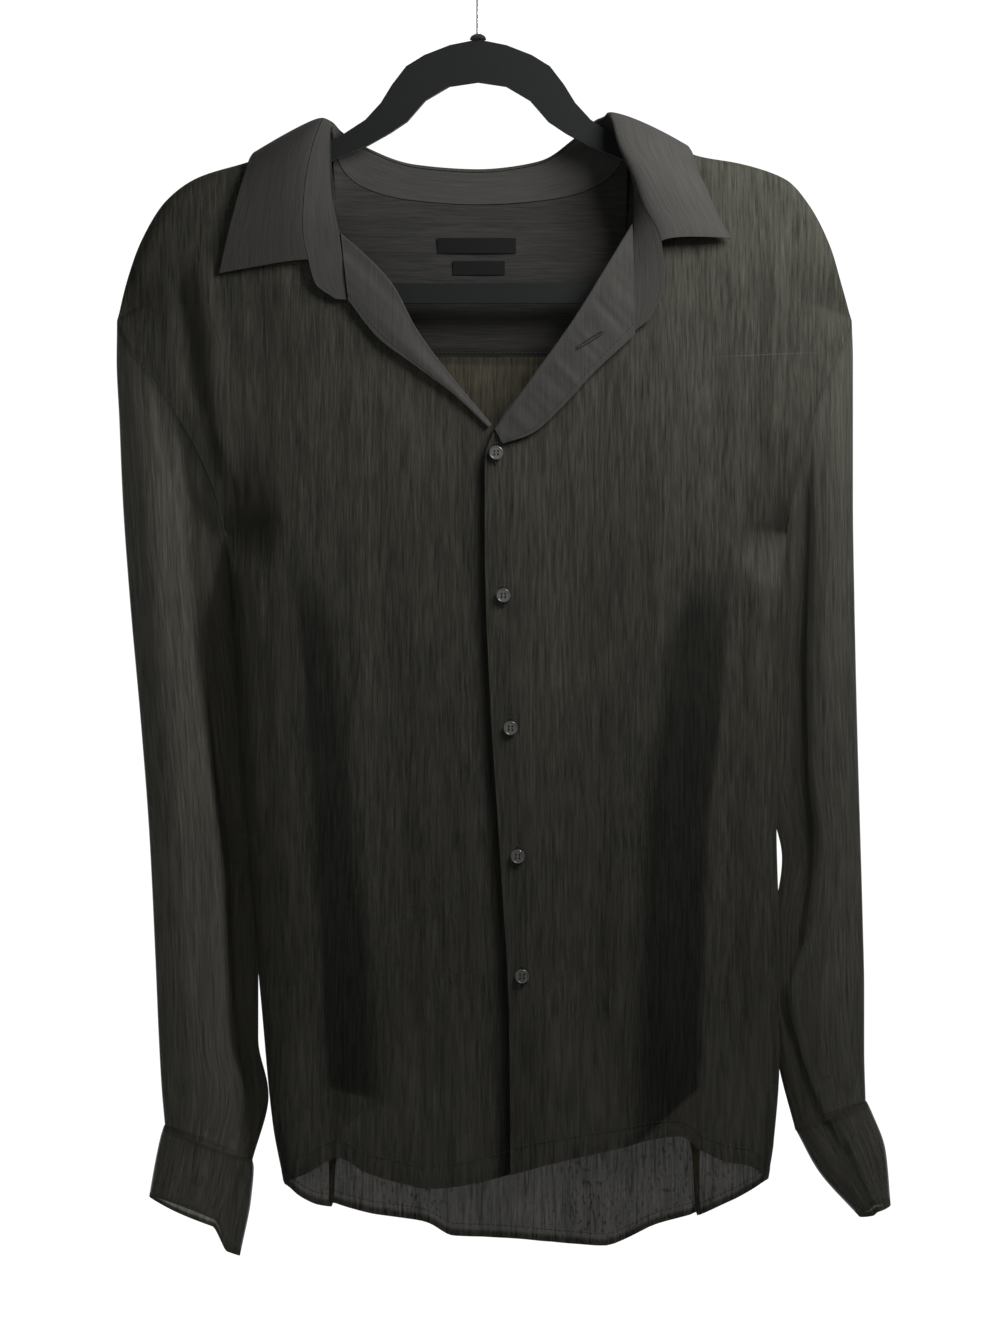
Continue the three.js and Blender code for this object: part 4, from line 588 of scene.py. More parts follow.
def crinkleGroup():
    group, source, target = newGroup(
        "crinkle crepe",
        [("Vector", "NodeSocketVector", None), ("DenseAndShade", "NodeSocketFloat", 0.0),
         ("Dark", "NodeSocketColor", (0.01, 0.01, 0.009, 1)),
         ("Light", "NodeSocketColor", (0.03, 0.029, 0.025, 1)),
         ("Cover", "NodeSocketFloat", 0.6), ("Thin", "NodeSocketFloat", 0.06),
         ("Flecks", "NodeSocketFloat", 0.5)],
        [("Color", "NodeSocketColor"), ("Alpha", "NodeSocketFloat"), ("Height", "NodeSocketFloat")])
    vector, denseAndShade = source.outputs["Vector"], source.outputs["DenseAndShade"]
    noises = (("fine", 2.5, 0.55), ("ridge", 2.0, 0.5), ("broad", 2.0, 0.5), ("fleck", 1.0, 0.5),
              ("cloud", 2.0, 0.5), ("line", 1.5, 0.5))
    fine, ridge, broad, fleck, cloud, line = (
        stretchedNoise(group, vector, crinkleLook[kind], *detail) for kind, *detail in noises)
    height = mathNode(group, "MULTIPLY_ADD", fine, 0.45, mathNode(group, "MULTIPLY", ridge, 0.4))
    height = mathNode(group, "MULTIPLY_ADD", broad, 0.15, height)
    patchy = rangeNode(group, cloud, 0.4, 0.6, 0.25, 1.0)
    split = group.nodes.new("ShaderNodeSeparateXYZ")
    group.links.new(vector, split.inputs["Vector"])
    # Flecks grow towards the bottom: real dark flecks, and painted shade that darkens the lower part
    lower = rangeNode(group, split.outputs["Y"], -0.6, -0.4, 1.0, 0.35)
    flecks = mathNode(group, "MULTIPLY", source.outputs["Flecks"], lower)
    patches = mathNode(group, "MULTIPLY", flecks, patchy)
    spots = rangeNode(group, fleck, *crinkleLook["spot"], 0.0, 1.0)
    spots = mathNode(group, "MULTIPLY", spots, patches)
    streak = rangeNode(group, height, *crinkleLook["streak"], 0.0, 1.0)
    offLine = mathNode(group, "ABSOLUTE", mathNode(group, "SUBTRACT", line, 0.5))
    lineShade = rangeNode(group, offLine, 0.0, crinkleLook["lineHalf"], crinkleLook["lineShade"], 1.0)
    spotShade = mathNode(group, "MULTIPLY_ADD", spots, crinkleLook["spotShade"], 1.0)
    tone = mathNode(group, "MULTIPLY", mathNode(group, "MULTIPLY", streak, spotShade), lineShade)
    blend = group.nodes.new("ShaderNodeMix")
    blend.data_type = "RGBA"
    group.links.new(tone, blend.inputs["Factor"])
    group.links.new(source.outputs["Dark"], blend.inputs["A"])
    group.links.new(source.outputs["Light"], blend.inputs["B"])
    denseShade = mathNode(group, "MULTIPLY_ADD", denseAndShade, crinkleLook["denseShade"], 1.0)
    denseShade = mathNode(group, "MAXIMUM", denseShade, crinkleLook["leastShade"])
    shaded = group.nodes.new("ShaderNodeVectorMath")
    shaded.operation = "SCALE"
    group.links.new(blend.outputs["Result"], shaded.inputs[0])
    group.links.new(denseShade, shaded.inputs["Scale"])
    group.links.new(shaded.outputs[0], target.inputs["Color"])
    closer = mathNode(group, "SUBTRACT", 0.5, streak)
    cover = mathNode(group, "MULTIPLY_ADD", closer, source.outputs["Thin"], source.outputs["Cover"])
    lined = mathNode(group, "SUBTRACT", 1.0, lineShade)
    cover = mathNode(group, "MULTIPLY_ADD", lined, crinkleLook["lineCover"], cover)
    cover = mathNode(group, "MULTIPLY_ADD", spots, crinkleLook["fleckCover"], cover)
    cover = mathNode(group, "ADD", cover, denseAndShade, clamp=True)
    group.links.new(cover, target.inputs["Alpha"])
    group.links.new(height, target.inputs["Height"])
    return group


crinkle = crinkleGroup()


# Cloth of the crinkle group: constants on the shader, colour, alpha and bump from the group
def clothMaterial(name, look):
    material = bpy.data.materials.new(name)
    material.use_nodes = True
    tree = material.node_tree
    shader = tree.nodes["Principled BSDF"]
    values = {"Roughness": look["roughness"], "Specular IOR Level": look["specular"],
              "Sheen Weight": look["sheen"], "Sheen Roughness": 0.4, "Sheen Tint": (0.9, 0.85, 0.75, 1)}
    for socket, value in values.items():
        shader.inputs[socket].default_value = value
    node = tree.nodes.new("ShaderNodeGroup")
    node.node_tree = crinkle
    for socket in ("Cover", "Thin", "Flecks"):
        node.inputs[socket].default_value = look[socket.lower()]
    for socket in ("Dark", "Light"):
        node.inputs[socket].default_value = look[socket.lower()] + (1,)
    uv = tree.nodes.new("ShaderNodeUVMap")
    uv.uv_map = "clothUV"
    tree.links.new(uv.outputs["UV"], node.inputs["Vector"])
    denseAndShade = tree.nodes.new("ShaderNodeAttribute")
    denseAndShade.attribute_name = "denseAndShade"
    tree.links.new(denseAndShade.outputs["Fac"], node.inputs["DenseAndShade"])
    tree.links.new(node.outputs["Color"], shader.inputs["Base Color"])
    tree.links.new(node.outputs["Alpha"], shader.inputs["Alpha"])
    bump = tree.nodes.new("ShaderNodeBump")
    bump.inputs["Strength"].default_value = look["bump"]
    bump.inputs["Distance"].default_value = 0.0012
    tree.links.new(node.outputs["Height"], bump.inputs["Height"])
    tree.links.new(bump.outputs["Normal"], shader.inputs["Normal"])
    return material


# A plain material with an even grain from object coordinates in its colour and bump
def plainMaterial(name, color, roughness, metallic=0.0, specular=0.5, grain=None, sheen=0.0, coat=0.0):
    material = bpy.data.materials.new(name)
    material.use_nodes = True
    tree = material.node_tree
    shader = tree.nodes["Principled BSDF"]
    values = {"Base Color": color + (1,), "Roughness": roughness, "Metallic": metallic,
              "Specular IOR Level": specular, "Sheen Weight": sheen, "Coat Weight": coat}
    for socket, value in values.items():
        shader.inputs[socket].default_value = value
    if grain:
        coords = tree.nodes.new("ShaderNodeTexCoord")
        noise = stretchedNoise(tree, coords.outputs["Object"], grain["scale"], 2.0, 0.6)
        blend = tree.nodes.new("ShaderNodeMix")
        blend.data_type = "RGBA"
        blend.inputs["A"].default_value = tuple(c * grain["low"] for c in color) + (1,)
        blend.inputs["B"].default_value = tuple(c * grain["high"] for c in color) + (1,)
        tree.links.new(noise, blend.inputs["Factor"])
        tree.links.new(blend.outputs["Result"], shader.inputs["Base Color"])
        bump = tree.nodes.new("ShaderNodeBump")
        bump.inputs["Strength"].default_value = grain["bump"]
        bump.inputs["Distance"].default_value = grain["depth"]
        tree.links.new(noise, bump.inputs["Height"])
        tree.links.new(bump.outputs["Normal"], shader.inputs["Normal"])
    return material


baseLook = {"roughness": 0.75, "specular": 0.05, "sheen": 0.02, "dark": (0.0085, 0.0085, 0.0068),
            "light": (0.033, 0.0318, 0.0255), "cover": 0.65, "thin": 0.06, "flecks": 0.7,
            "bump": 0.6}
frontCloth = clothMaterial("front crepe", baseLook)
# The yoke's copy of the crepe has a darker light colour than the front's: painted shade inside the back neck
yokeCloth = clothMaterial("yoke crepe", {
    **baseLook, "cover": 0.9, "flecks": 0.2,
    "dark": (0.0115, 0.0113, 0.0104), "light": (0.022, 0.0212, 0.0192)})
# The back's copy is warmer and lighter than the front's: painted warm light shining through at its hem
backCloth = clothMaterial("back crepe", {
    **baseLook, "cover": 0.83, "flecks": 0.4, "light": (0.038, 0.0335, 0.0215)})
sleeveBase = {**baseLook, "cover": 0.72, "thin": 0.1, "flecks": 0.35}
# The sleeves' two copies of one crepe are painted light: the right sleeve's copy is lighter than the left's
sleeveCloth = {
    "right": clothMaterial("right sleeve crepe", {
        **sleeveBase, "dark": (0.013, 0.013, 0.0105), "light": (0.05, 0.048, 0.0385)}),
    "left": clothMaterial("left sleeve crepe", {
        **sleeveBase, "dark": (0.0105, 0.0105, 0.0085), "light": (0.04, 0.0385, 0.031)}),
}
collarCloth = clothMaterial("collar crepe", {
    **baseLook, "cover": 0.97, "flecks": 0.15, "bump": 0.4,
    "dark": (0.0168, 0.0164, 0.0152), "light": (0.0235, 0.0228, 0.0211)})
threadMaterial = plainMaterial("black thread", (0.008, 0.008, 0.0075), 0.6, specular=0.2)
buttonMaterial = plainMaterial("button resin", (0.03, 0.029, 0.027), 0.25, specular=0.5, coat=0.3,
                               grain={"scale": (260, 260, 260), "low": 0.8, "high": 1.25,
                                      "bump": 0.05, "depth": 0.0003})
velvetMaterial = plainMaterial("flocked velvet", (0.0045, 0.0047, 0.0048), 0.95, specular=0.05, sheen=0.06,
                               grain={"scale": (2200, 2200, 2200), "low": 0.6, "high": 1.5,
                                      "bump": 0.5, "depth": 0.0004})
wireMaterial = plainMaterial("hook wire", (0.62, 0.63, 0.65), 0.22, metallic=1.0,
                             grain={"scale": (900, 900, 300), "low": 0.92, "high": 1.05,
                                    "bump": 0.04, "depth": 0.0002})
labelMaterial = plainMaterial("label satin", (0.002, 0.002, 0.0022), 0.6, specular=0.05,
                              grain={"scale": (2600, 2600, 900), "low": 0.7, "high": 1.4,
                                     "bump": 0.3, "depth": 0.0002})
print("stage: materials")

frontLook = {"rows": 230, "columns": 130, "hemThickness": 1.1, "shoulderBend": 5, "hemBend": 7,
             "gather": 2.2, "gathered": 0.55, "hemWidth": 9.0, "facingWidth": 30.0, "seamWidth": 7.0,
             "hemShade": 0.12, "facingShade": 0.1, "seamShade": 0.2, "shadeFade": 1.5,
             "lapShade": 0.68, "lapNear": 3.0, "lapFade": 15.0, "lapUnder": 12.0, "lapUnderFade": 8.0,
             "lapTop": -362.0, "lapTopFade": 25.0, "bandShade": 0.72, "bandWander": (7, 140.0, 1.0),
             "bandSoft": {"outer": 13.0, "inner": 30.0}, "bandTop": -405.0, "bandFade": 90.0,
             "bandEnd": {"right": -818.0, "left": -816.0}, "bandEndSlope": {"right": -0.25, "left": 0.9},
             "bandEndFade": 7.0}
outward = {"right": -1, "left": 1}


# Outline of the body's outer side at row share v: the armhole from one of its shares down to a
# row share, then the side fold
def outlineAt(side, v, armholeRows, start=0):
    upper = mix(start, 1, np.clip(v / armholeRows, 0, 1))
    lower = np.clip((v - armholeRows) / (1 - armholeRows), 0, 1)
    above = v < armholeRows
    pick = lambda k: np.where(above, valueAt(armhole[side], k, upper), valueAt(sideFold[side], k, lower))
    return pick("x"), pick("z")


# Front's place at (u, v): between its edge and its outline, bent to the shoulder and the hem
def frontPlace(side, u, v):
    outX, outZ = outlineAt(side, v, armholeShare)
    edgeX, edgeZ = valueAt(frontEdge[side], "x", v), valueAt(frontEdge[side], "z", v)
    x, z = mix(edgeX, outX, u), mix(edgeZ, outZ, u)
    fold = shoulderFold[side]
    share = (1 - v) ** frontLook["shoulderBend"] * np.clip(1 - v / armholeShare, 0, 1)
    x = x + share * (valueAt(fold, "x", u) - mix(fold["x"][0], fold["x"][-1], u))
    z = z + share * (valueAt(fold, "z", u) - mix(fold["z"][0], fold["z"][-1], u))
    straight = mix(frontEdge[side]["z"][-1], sideFold[side]["z"][-1], u)
    return x, z + v ** frontLook["hemBend"] * (valueAt(frontHem, "z", x) - straight)


# How much a place of the under front lies in the strip beside the top front's edge, where the top front's
# shadow is painted
def besideTopEdge(x, z):
    short = -pastTopEdge(x, z)
    under = smooth((short + frontLook["lapUnder"]) / frontLook["lapUnderFade"])
    strip = under * (1 - smooth((short - frontLook["lapNear"]) / frontLook["lapFade"]))
    return strip * smooth((frontLook["lapTop"] - z) / frontLook["lapTopFade"])


# How much a place of a front lies before the back's long fold: between its edges, soft at both; the front's
# colour gets painted shade there
def beforeFold(side, x, z):
    inner, outer = (valueAt(backFolds[side][k], "x", z) for k in ("inner", "outer"))
    out = outward[side]
    wander = ripples(z, x, *frontLook["bandWander"])
    fromOuter = smooth((outer + wander - x) * out / frontLook["bandSoft"]["outer"] + 0.5)
    fromInner = smooth((x - inner - wander) * out / frontLook["bandSoft"]["inner"] + 0.6)
    bottom = frontLook["bandEnd"][side] + frontLook["bandEndSlope"][side] * (x - outer)
    ended = smooth((z - bottom) / frontLook["bandEndFade"])
    return fromOuter * fromInner * smooth((frontLook["bandTop"] - z) / frontLook["bandFade"]) * ended


# A front: even rows, columns drawn together towards the side; thicker and closer at its hems
def makeFront(side):
    rows, columns = frontLook["rows"], frontLook["columns"]
    v = np.linspace(0, 1, rows)[:, None] * np.ones((1, columns))
    s = np.linspace(0, 1, columns)[None, :] * np.ones((rows, 1))
    u = mix(s, 1 - (1 - s) ** frontLook["gather"], frontLook["gathered"])
    x, z = frontPlace(side, u, v)
    y = frontY(side, x, z, fine=True)
    if side == "left":
        onSeam = (s >= 1) | (v <= 0)
        y = y - np.where(onSeam, 0, frontLift(x, z))
    y[0] = -seamGap / 2
    points, fade = stack(x, y, z), frontLook["shadeFade"]
    hem = smooth((frontLook["hemWidth"] - np.linalg.norm(points - points[-1:], axis=-1)) / fade)
    facing = smooth((frontLook["facingWidth"] - np.abs(x - x[:, :1])) / fade)
    seam = smooth((frontLook["seamWidth"] - np.hypot(x - x[:, -1:], z - z[:, -1:])) / fade)
    denseAndShade = frontLook["hemShade"] * hem + frontLook["facingShade"] * facing + frontLook["seamShade"] * seam
    # painted shade: soft dark bands on the front where the back's folds lie behind it
    denseAndShade = denseAndShade + frontLook["bandShade"] * beforeFold(side, x, z)
    if side == "right":
        # painted shadow of the top front's edge on the under front
        denseAndShade = denseAndShade + frontLook["lapShade"] * besideTopEdge(x, z)
    thickness = mix(clothThickness, frontLook["hemThickness"], hem)
    piece = shell(f"front_{side}_cloth", points, frontCloth, thickness, denseAndShade=denseAndShade)
    return place(piece, "cloth", f"front_{side}"), points


frontRight, rightGrid = makeFront("right")
frontLeft, leftGrid = makeFront("left")
print("stage: fronts")

yokeLook = {"rows": 46, "shoulder": 70, "neck": 70, "gather": 1.25, "seamBend": 0.2, "neckBlend": 0.5,
            "waves": (5, 11.0, 0.2), "waveFade": 0.2, "seamWidth": 7.0, "seamShade": 0.35, "shade": 0.3}


# Yoke: shoulder folds and back neck on top, the yoke seam below, blended in depth towards the back
def makeYoke():
    shoulder = np.linspace(0, 1, yokeLook["shoulder"])
    neck = np.linspace(0.02, 0.98, yokeLook["neck"])
    fold = shoulderFold
    parts = [(fold["right"], shoulder[::-1]), (backNeck, neck), (fold["left"], shoulder)]
    topX = np.concatenate([valueAt(table, "x", t) for table, t in parts])
    topZ = np.concatenate([valueAt(table, "z", t) for table, t in parts])
    gap = np.full(len(shoulder), seamGap / 2)
    topY = np.concatenate([gap, valueAt(backNeck, "y", neck), gap])
    onNeck = np.concatenate([gap * 0, neck * 0 + 1, gap * 0])
    right = np.arange(len(topX)) < len(shoulder) + len(neck) // 2
    ends = {side: [valueAt(armhole[side], k, yokeSeamShare) for k in "xz"] for side in ("right", "left")}
    reach = (topX - topX[0]) / (topX[-1] - topX[0])
    seamX = mix(ends["right"][0], ends["left"][0], reach)
    straight = mix(ends["right"][1], ends["left"][1], reach)
    seamZ = mix(straight, yokeSeamHeight, smooth(np.minimum(reach, 1 - reach) / yokeLook["seamBend"]))
    v = (np.linspace(0, 1, yokeLook["rows"]) ** yokeLook["gather"])[:, None]
    x, z = mix(topX, seamX, v), mix(topZ, seamZ, v)
    for column, side in ((0, "right"), (-1, "left")):
        x[:, column] = valueAt(armhole[side], "x", v[:, 0] * yokeSeamShare)
        z[:, column] = valueAt(armhole[side], "z", v[:, 0] * yokeSeamShare)
    free = np.where(right, backY("right", x, z), backY("left", x, z))
    y = mix(np.where(onNeck > 0, topY, free), free, smooth(v / yokeLook["neckBlend"]))
    fade = smooth(v / yokeLook["waveFade"]) * smooth((1 - v) / yokeLook["waveFade"])
    y = y + ripples(z, x, *yokeLook["waves"]) * fade
    y[0] = topY
    points = stack(x, y, z)
    seam = smooth((yokeLook["seamWidth"] - np.abs(z - z[-1:])) / 1.5)
    denseAndShade = yokeLook["seamShade"] * seam + yokeLook["shade"]
    piece = shell("back_yoke_cloth", points, yokeCloth, denseAndShade=denseAndShade, uv=np.stack([z, x], axis=-1))
    return place(piece, "cloth", "back_yoke"), points


backYoke, yokeGrid = makeYoke()
print("stage: yoke")

# Columns of the back: plain share, which edge the folded place is counted from, its offset, how
# deep it lies and how far its hem is raised
backColumns = [
    (0, "side", 0, 0, 0), (0.01, "side", 1.3, 0, 0), (0.04, "side", 4.5, -0.2, 0),
    (0.09, "side", 11, -0.9, 0), (0.16, "side", 24, -1.7, 0), (0.2, "outer", 2, -1.85, 0),
    (0.225, "outer", 7, -1.92, 0.6), (0.27, "inner", -12, -2, 0.9), (0.34, "inner", -5, -2, 0.95),
    (0.385, "inner", 0, -1.65, 1), (0.43, "inner", -4, -1.2, 0.95), (0.5, "outer", 14, -1, 0.85),
    (0.56, "outer", 5, -0.7, 0.55), (0.61, "outer", 0, -0.35, 0.02), (0.66, "outer", 5, 0, 0),
    (0.74, "outer", 30, 0, 0)]
backLook = {"rows": 200, "columns": 244, "middle": 7, "middleInset": 0.06, "hemFrom": 0.5,
            "waves": (23, 17.0, 0.3), "waveFade": 60.0, "hemWidth": 5.0, "hemThickness": 1.2,
            "topWidth": 7.0, "hemShade": 0.1, "topShade": 0.25, "upperShade": 0.13,
            "upperEnd": -700.0, "upperFade": 160.0}


# Knots of the back's columns on one side: plain places blended to folded ones, the depth of each
# layer, and the hem's height added below the middle
def backKnots(side, v):
    fold = backFolds[side]
    outX, outZ = outlineAt(side, v, backArmholeShare, yokeSeamShare)
    below = smooth((v - backLook["hemFrom"]) / (1 - backLook["hemFrom"]))
    knots = []
    for plain, edge, offset, layer, raised in backColumns:
        topDip = mix(outZ, yokeSeamHeight, smooth(plain / 0.4))
        z = mix(topDip, outZ, smooth(v / backArmholeShare))
        share = smooth((fold["start"] - z) / (fold["start"] - fold["full"]))
        start = outX if edge == "side" else valueAt(fold[edge], "x", z)
        x = mix(mix(outX, middleX, plain), start - outward[side] * offset, share)
        parted = smooth((fold["start"] + foldParting["above"] - z) / foldParting["reach"])
        hemZ = valueAt(backHem, "z", x) + fold["rise"] * raised
        z = z + below * (hemZ - sideFold[side]["z"][-1])
        knots.append((x, z, layer * foldSpacing * parted))
    return [np.stack([k[i] for k in knots], axis=1) for i in range(3)]


# The back: knots of both sides joined over a plain middle, then drawn finer by a cubic
def makeBack():
    v = np.linspace(0, 1, backLook["rows"])
    right, left = backKnots("right", v), backKnots("left", v)
    left = [part[:, ::-1] for part in left]
    share = np.linspace(0.02, 0.98, backLook["middle"] + 2)[1:-1][None, :]
    fromX, toX = right[0][:, -1:], left[0][:, :1]
    inset = backLook["middleInset"]
    middleXs = mix(mix(fromX, toX, inset), mix(fromX, toX, 1 - inset), share)
    plainZ = mix(right[1][:, -1:], left[1][:, :1], share)
    straightHem = mix(valueAt(backHem, "z", fromX), valueAt(backHem, "z", toX), share)
    below = smooth((v[:, None] - backLook["hemFrom"]) / (1 - backLook["hemFrom"]))
    middleZ = plainZ + below * (valueAt(backHem, "z", middleXs) - straightHem)
    middles = (middleXs, middleZ, 0 * middleXs)
    knots = [np.concatenate(parts, axis=1) for parts in zip(right, middles, left)]
    at = np.linspace(0, knots[0].shape[1] - 1, backLook["columns"])
    x, z, layer = (resample(k, at) for k in knots)
    isRight = at < (knots[0].shape[1] - 1) / 2
    y = np.where(isRight, backY("right", x, z), backY("left", x, z)) + layer
    fade = smooth((z.max(axis=0) - z) / backLook["waveFade"]) * smooth(np.minimum(at, at[-1] - at) / 3)
    y = y + fade * ripples(x, z, *backLook["waves"])
    points = stack(x, y, z)
    hemDistance = np.linalg.norm(points - points[-1:], axis=-1)
    hem = smooth((backLook["hemWidth"] - hemDistance) / 1.2)
    top = smooth((backLook["topWidth"] - np.linalg.norm(points - points[:1], axis=-1)) / 1.5)
    lowered = smooth((backLook["upperEnd"] - z) / backLook["upperFade"])
    denseAndShade = backLook["hemShade"] * hem + backLook["topShade"] * top + backLook["upperShade"] * (1 - lowered)
    thickness = mix(clothThickness, backLook["hemThickness"], hem)
    piece = shell("back_cloth", points, backCloth, thickness, denseAndShade=denseAndShade)
    return place(piece, "cloth", "back_panel"), points


backPiece, backGrid = makeBack()
print("stage: back")

sleeveLook = {"rows": 200, "around": 150, "seed": {"right": 31, "left": 37}, "waves": (19.0, 0.45),
              "seamReach": 8 / 600, "seamFade": 0.004, "seamShade": 0.2, "foldSoft": 0.06,
              "doubledAndShaded": {"right": 0.42, "left": 0.62}}


# A point of a tube at ring t and share: lens section, set back and thinned past its fold
def tubePoint(table, t, share, rear):
    get = lambda column: valueAt(table, column, t)
    inner = smooth((share - get("fold") + 0.06) / 0.12)
    thin = 1 - get("recess") * inner * np.where(rear, 0.5, 1)
    sink = get("set") * smooth((share - 0.2) / (get("fold") - 0.1))
    y = sink + np.where(rear, 1, -1) * get("half") * lensShape(share) * thin
    return mix(get("ox"), get("ix"), share), y, mix(get("oz"), get("iz"), share)


# Rings of a tube: round the lens with places drawn together at its two edges
def tubeGrid(table, rows, around, seam=None):
    t = np.linspace(0, 1, rows)[:, None]
    turn = np.linspace(0, 2, around, endpoint=False)[None, :]
    rear = turn > 1
    share = np.broadcast_to(0.5 - 0.5 * np.cos(np.pi * turn), (rows, around))
    x, y, z = tubePoint(table, t, share, rear)
    if seam is not None:
        bow = 1 - smooth(t / 0.2)
        x = x + bow * (valueAt(seam, "x", share) - mix(seam["x"][0], seam["x"][-1], share))
        z = z + bow * (valueAt(seam, "z", share) - mix(seam["z"][0], seam["z"][-1], share))
    if "drop" in table:
        z = z - valueAt(table, "drop", t) * smooth((share - valueAt(table, "fold", t) + 0.05) / 0.16)
    return stack(x, y, z), share, np.broadcast_to(rear, share.shape)


# Cloth coordinates of a tube: round it by the distance gone, along it by the rings' distance
def tubeUV(points):
    step = np.linalg.norm(np.diff(points, axis=1, append=points[:, :1]), axis=-1)
    across = np.cumsum(step, axis=1)
    across = np.broadcast_to(across.mean(axis=0), across.shape)
    along = goneAlong(points.mean(axis=1))[:, None]
    return np.stack(np.broadcast_arrays(across, -along), axis=-1)


# Sleeve: the tube's grid with long ripples along its normals; the rear part past its fold is closer
# and darker, as cloth lies doubled there and shade is painted on it
def makeSleeve(side):
    rings = sleeveRings[side]
    points, share, rear = tubeGrid(rings, sleeveLook["rows"], sleeveLook["around"], armhole[side])
    t = np.linspace(0, 1, sleeveLook["rows"])[:, None]
    uv = tubeUV(points)
    fade = smooth(t / 0.06) * smooth((1 - t) / 0.05) * np.sin(np.pi * np.clip(share, 0, 1)) ** 0.5
    waves = ripples(uv[..., 0], uv[..., 1], sleeveLook["seed"][side], *sleeveLook["waves"])
    points = points + gridNormals(points, True) * (fade * waves)[..., None]
    soft = sleeveLook["foldSoft"]
    # painted shade on the sleeve's rear past its fold, together with its doubled cloth
    doubledAndShaded = smooth((share - valueAt(rings, "fold", t) + soft) / soft) * smooth((t - 0.05) / 0.12) * rear
    seam = smooth((sleeveLook["seamReach"] - t) / sleeveLook["seamFade"])
    denseAndShade = sleeveLook["seamShade"] * seam + sleeveLook["doubledAndShaded"][side] * doubledAndShaded
    piece = shell(f"sleeve_{side}_cloth", points, sleeveCloth[side], closedRound=True, uv=uv, denseAndShade=denseAndShade)
    return place(piece, "cloth", f"sleeve_{side}")


sleeveRight, sleeveLeft = makeSleeve("right"), makeSleeve("left")

cuffLook = {"rows": 60, "around": 150, "thickness": 1.0, "edge": 0.06, "edgeFade": 0.02,
            "shade": 0.03, "edgeShade": 0.25}


# Cuff: a thicker tube, closer at its two edges
def makeCuff(side):
    points, _, _ = tubeGrid(cuffRings[side], cuffLook["rows"], cuffLook["around"])
    uv = tubeUV(points)
    t = np.linspace(0, 1, cuffLook["rows"])[:, None]
    edge, fade = cuffLook["edge"], cuffLook["edgeFade"]
    ends = smooth((edge - t) / fade) + smooth((t - 1 + edge) / fade)
    denseAndShade = cuffLook["shade"] + cuffLook["edgeShade"] * ends
    piece = shell(f"cuff_{side}_cloth", points, sleeveCloth[side], cuffLook["thickness"], True, uv, denseAndShade)
    return place(piece, "cloth", f"cuff_{side}")


cuffRight, cuffLeft = makeCuff("right"), makeCuff("left")
print("stage: sleeves and cuffs")

placketLook = {"along": 60, "across": 8, "lift": 0.9, "thickness": 0.8, "denseAndShade": -0.45}


# Placket: a strip laid on the sleeve from ring t0 to t1, its points moved out from the sleeve's
def makeSleevePlacket(side, rear, t0, t1, inset, width):
    table = sleeveRings[side]
    t = np.linspace(t0, t1, placketLook["along"])[None, :]
    w = np.linspace(0, 1, placketLook["across"])[:, None]
    share = valueAt(table, "fold", t) - inset - w * width
    at = lambda p, ring: stack(*tubePoint(table, ring, p, rear))
    t = np.broadcast_to(t, share.shape)
    across, along = at(share + 0.02, t) - at(share - 0.02, t), at(share, t + 0.01) - at(share, t - 0.01)
    normal = unit(np.cross(across, along))
    normal *= np.where(normal[..., 1:2] * (1 if rear else -1) < 0, -1, 1)
    points = at(share, t) + normal * placketLook["lift"]
    name, material = f"sleeve_placket_{side}_cloth", sleeveCloth[side]
    piece = shell(name, points, material, placketLook["thickness"], denseAndShade=placketLook["denseAndShade"])
    return place(piece, "cloth", f"sleeve_placket_{side}")


rightPlacket = makeSleevePlacket("right", True, t0=0.8, t1=0.99, inset=0.3, width=0.2)
leftPlacket = makeSleevePlacket("left", False, t0=0.79, t1=0.95, inset=0.1, width=0.2)

collarLook = {"stand": 260, "standRows": 16, "leaf": 250, "leafRows": 44, "standThickness": 0.9,
              "leafThickness": 1.0, "lap": 2.4, "lapFrom": 0.76, "standWidth": 24.0, "leafWidth": 60.0}


# Collar point at stations t: n follows the back neck seam round the back, s and e their columns
def collarPoint(t, letter):
    point = np.stack([valueAt(collarStations, letter + k, t) for k in "xyz"], axis=-1)
    if letter == "n":
        share = (t - backStations[0]) / (backStations[1] - backStations[0])
        on = (share > 0) & (share < 1)
        seam = np.stack([valueAt(backNeck, k, share) for k in "xyz"], axis=-1)
        runX = valueAt(backNeck, "x", share + 0.02) - valueAt(backNeck, "x", share - 0.02)
        runZ = valueAt(backNeck, "z", share + 0.02) - valueAt(backNeck, "z", share - 0.02)
        across = unit(np.stack([-runZ, 0 * runX, runX], axis=-1))
        blend = smooth(np.minimum(share, 1 - share) / 0.03)[..., None]
        point = np.where(on[..., None], mix(point, seam + across * 0.5, blend), point)
    return point


# Stand: straight from the neck seam to the leaf's seam; its left end laps over the band's end
def makeStand():
    t = np.linspace(0, 1, collarLook["stand"])
    v = np.linspace(0, 1, collarLook["standRows"])[:, None, None]
    low, high = collarPoint(t, "n"), collarPoint(t, "s")
    low[:, 0] -= collarLook["lap"] * smooth((t - collarLook["lapFrom"]) / 0.04)
    points = mix(low[None], high[None], v)
    uv = np.stack(np.broadcast_arrays(v[..., 0] * collarLook["standWidth"], goneAlong(low)), axis=-1)
    piece = shell("collar_stand_cloth", points, collarCloth, collarLook["standThickness"], uv=uv, denseAndShade=0.1)
    return place(piece, "cloth", "collar_stand")


stand = makeStand()


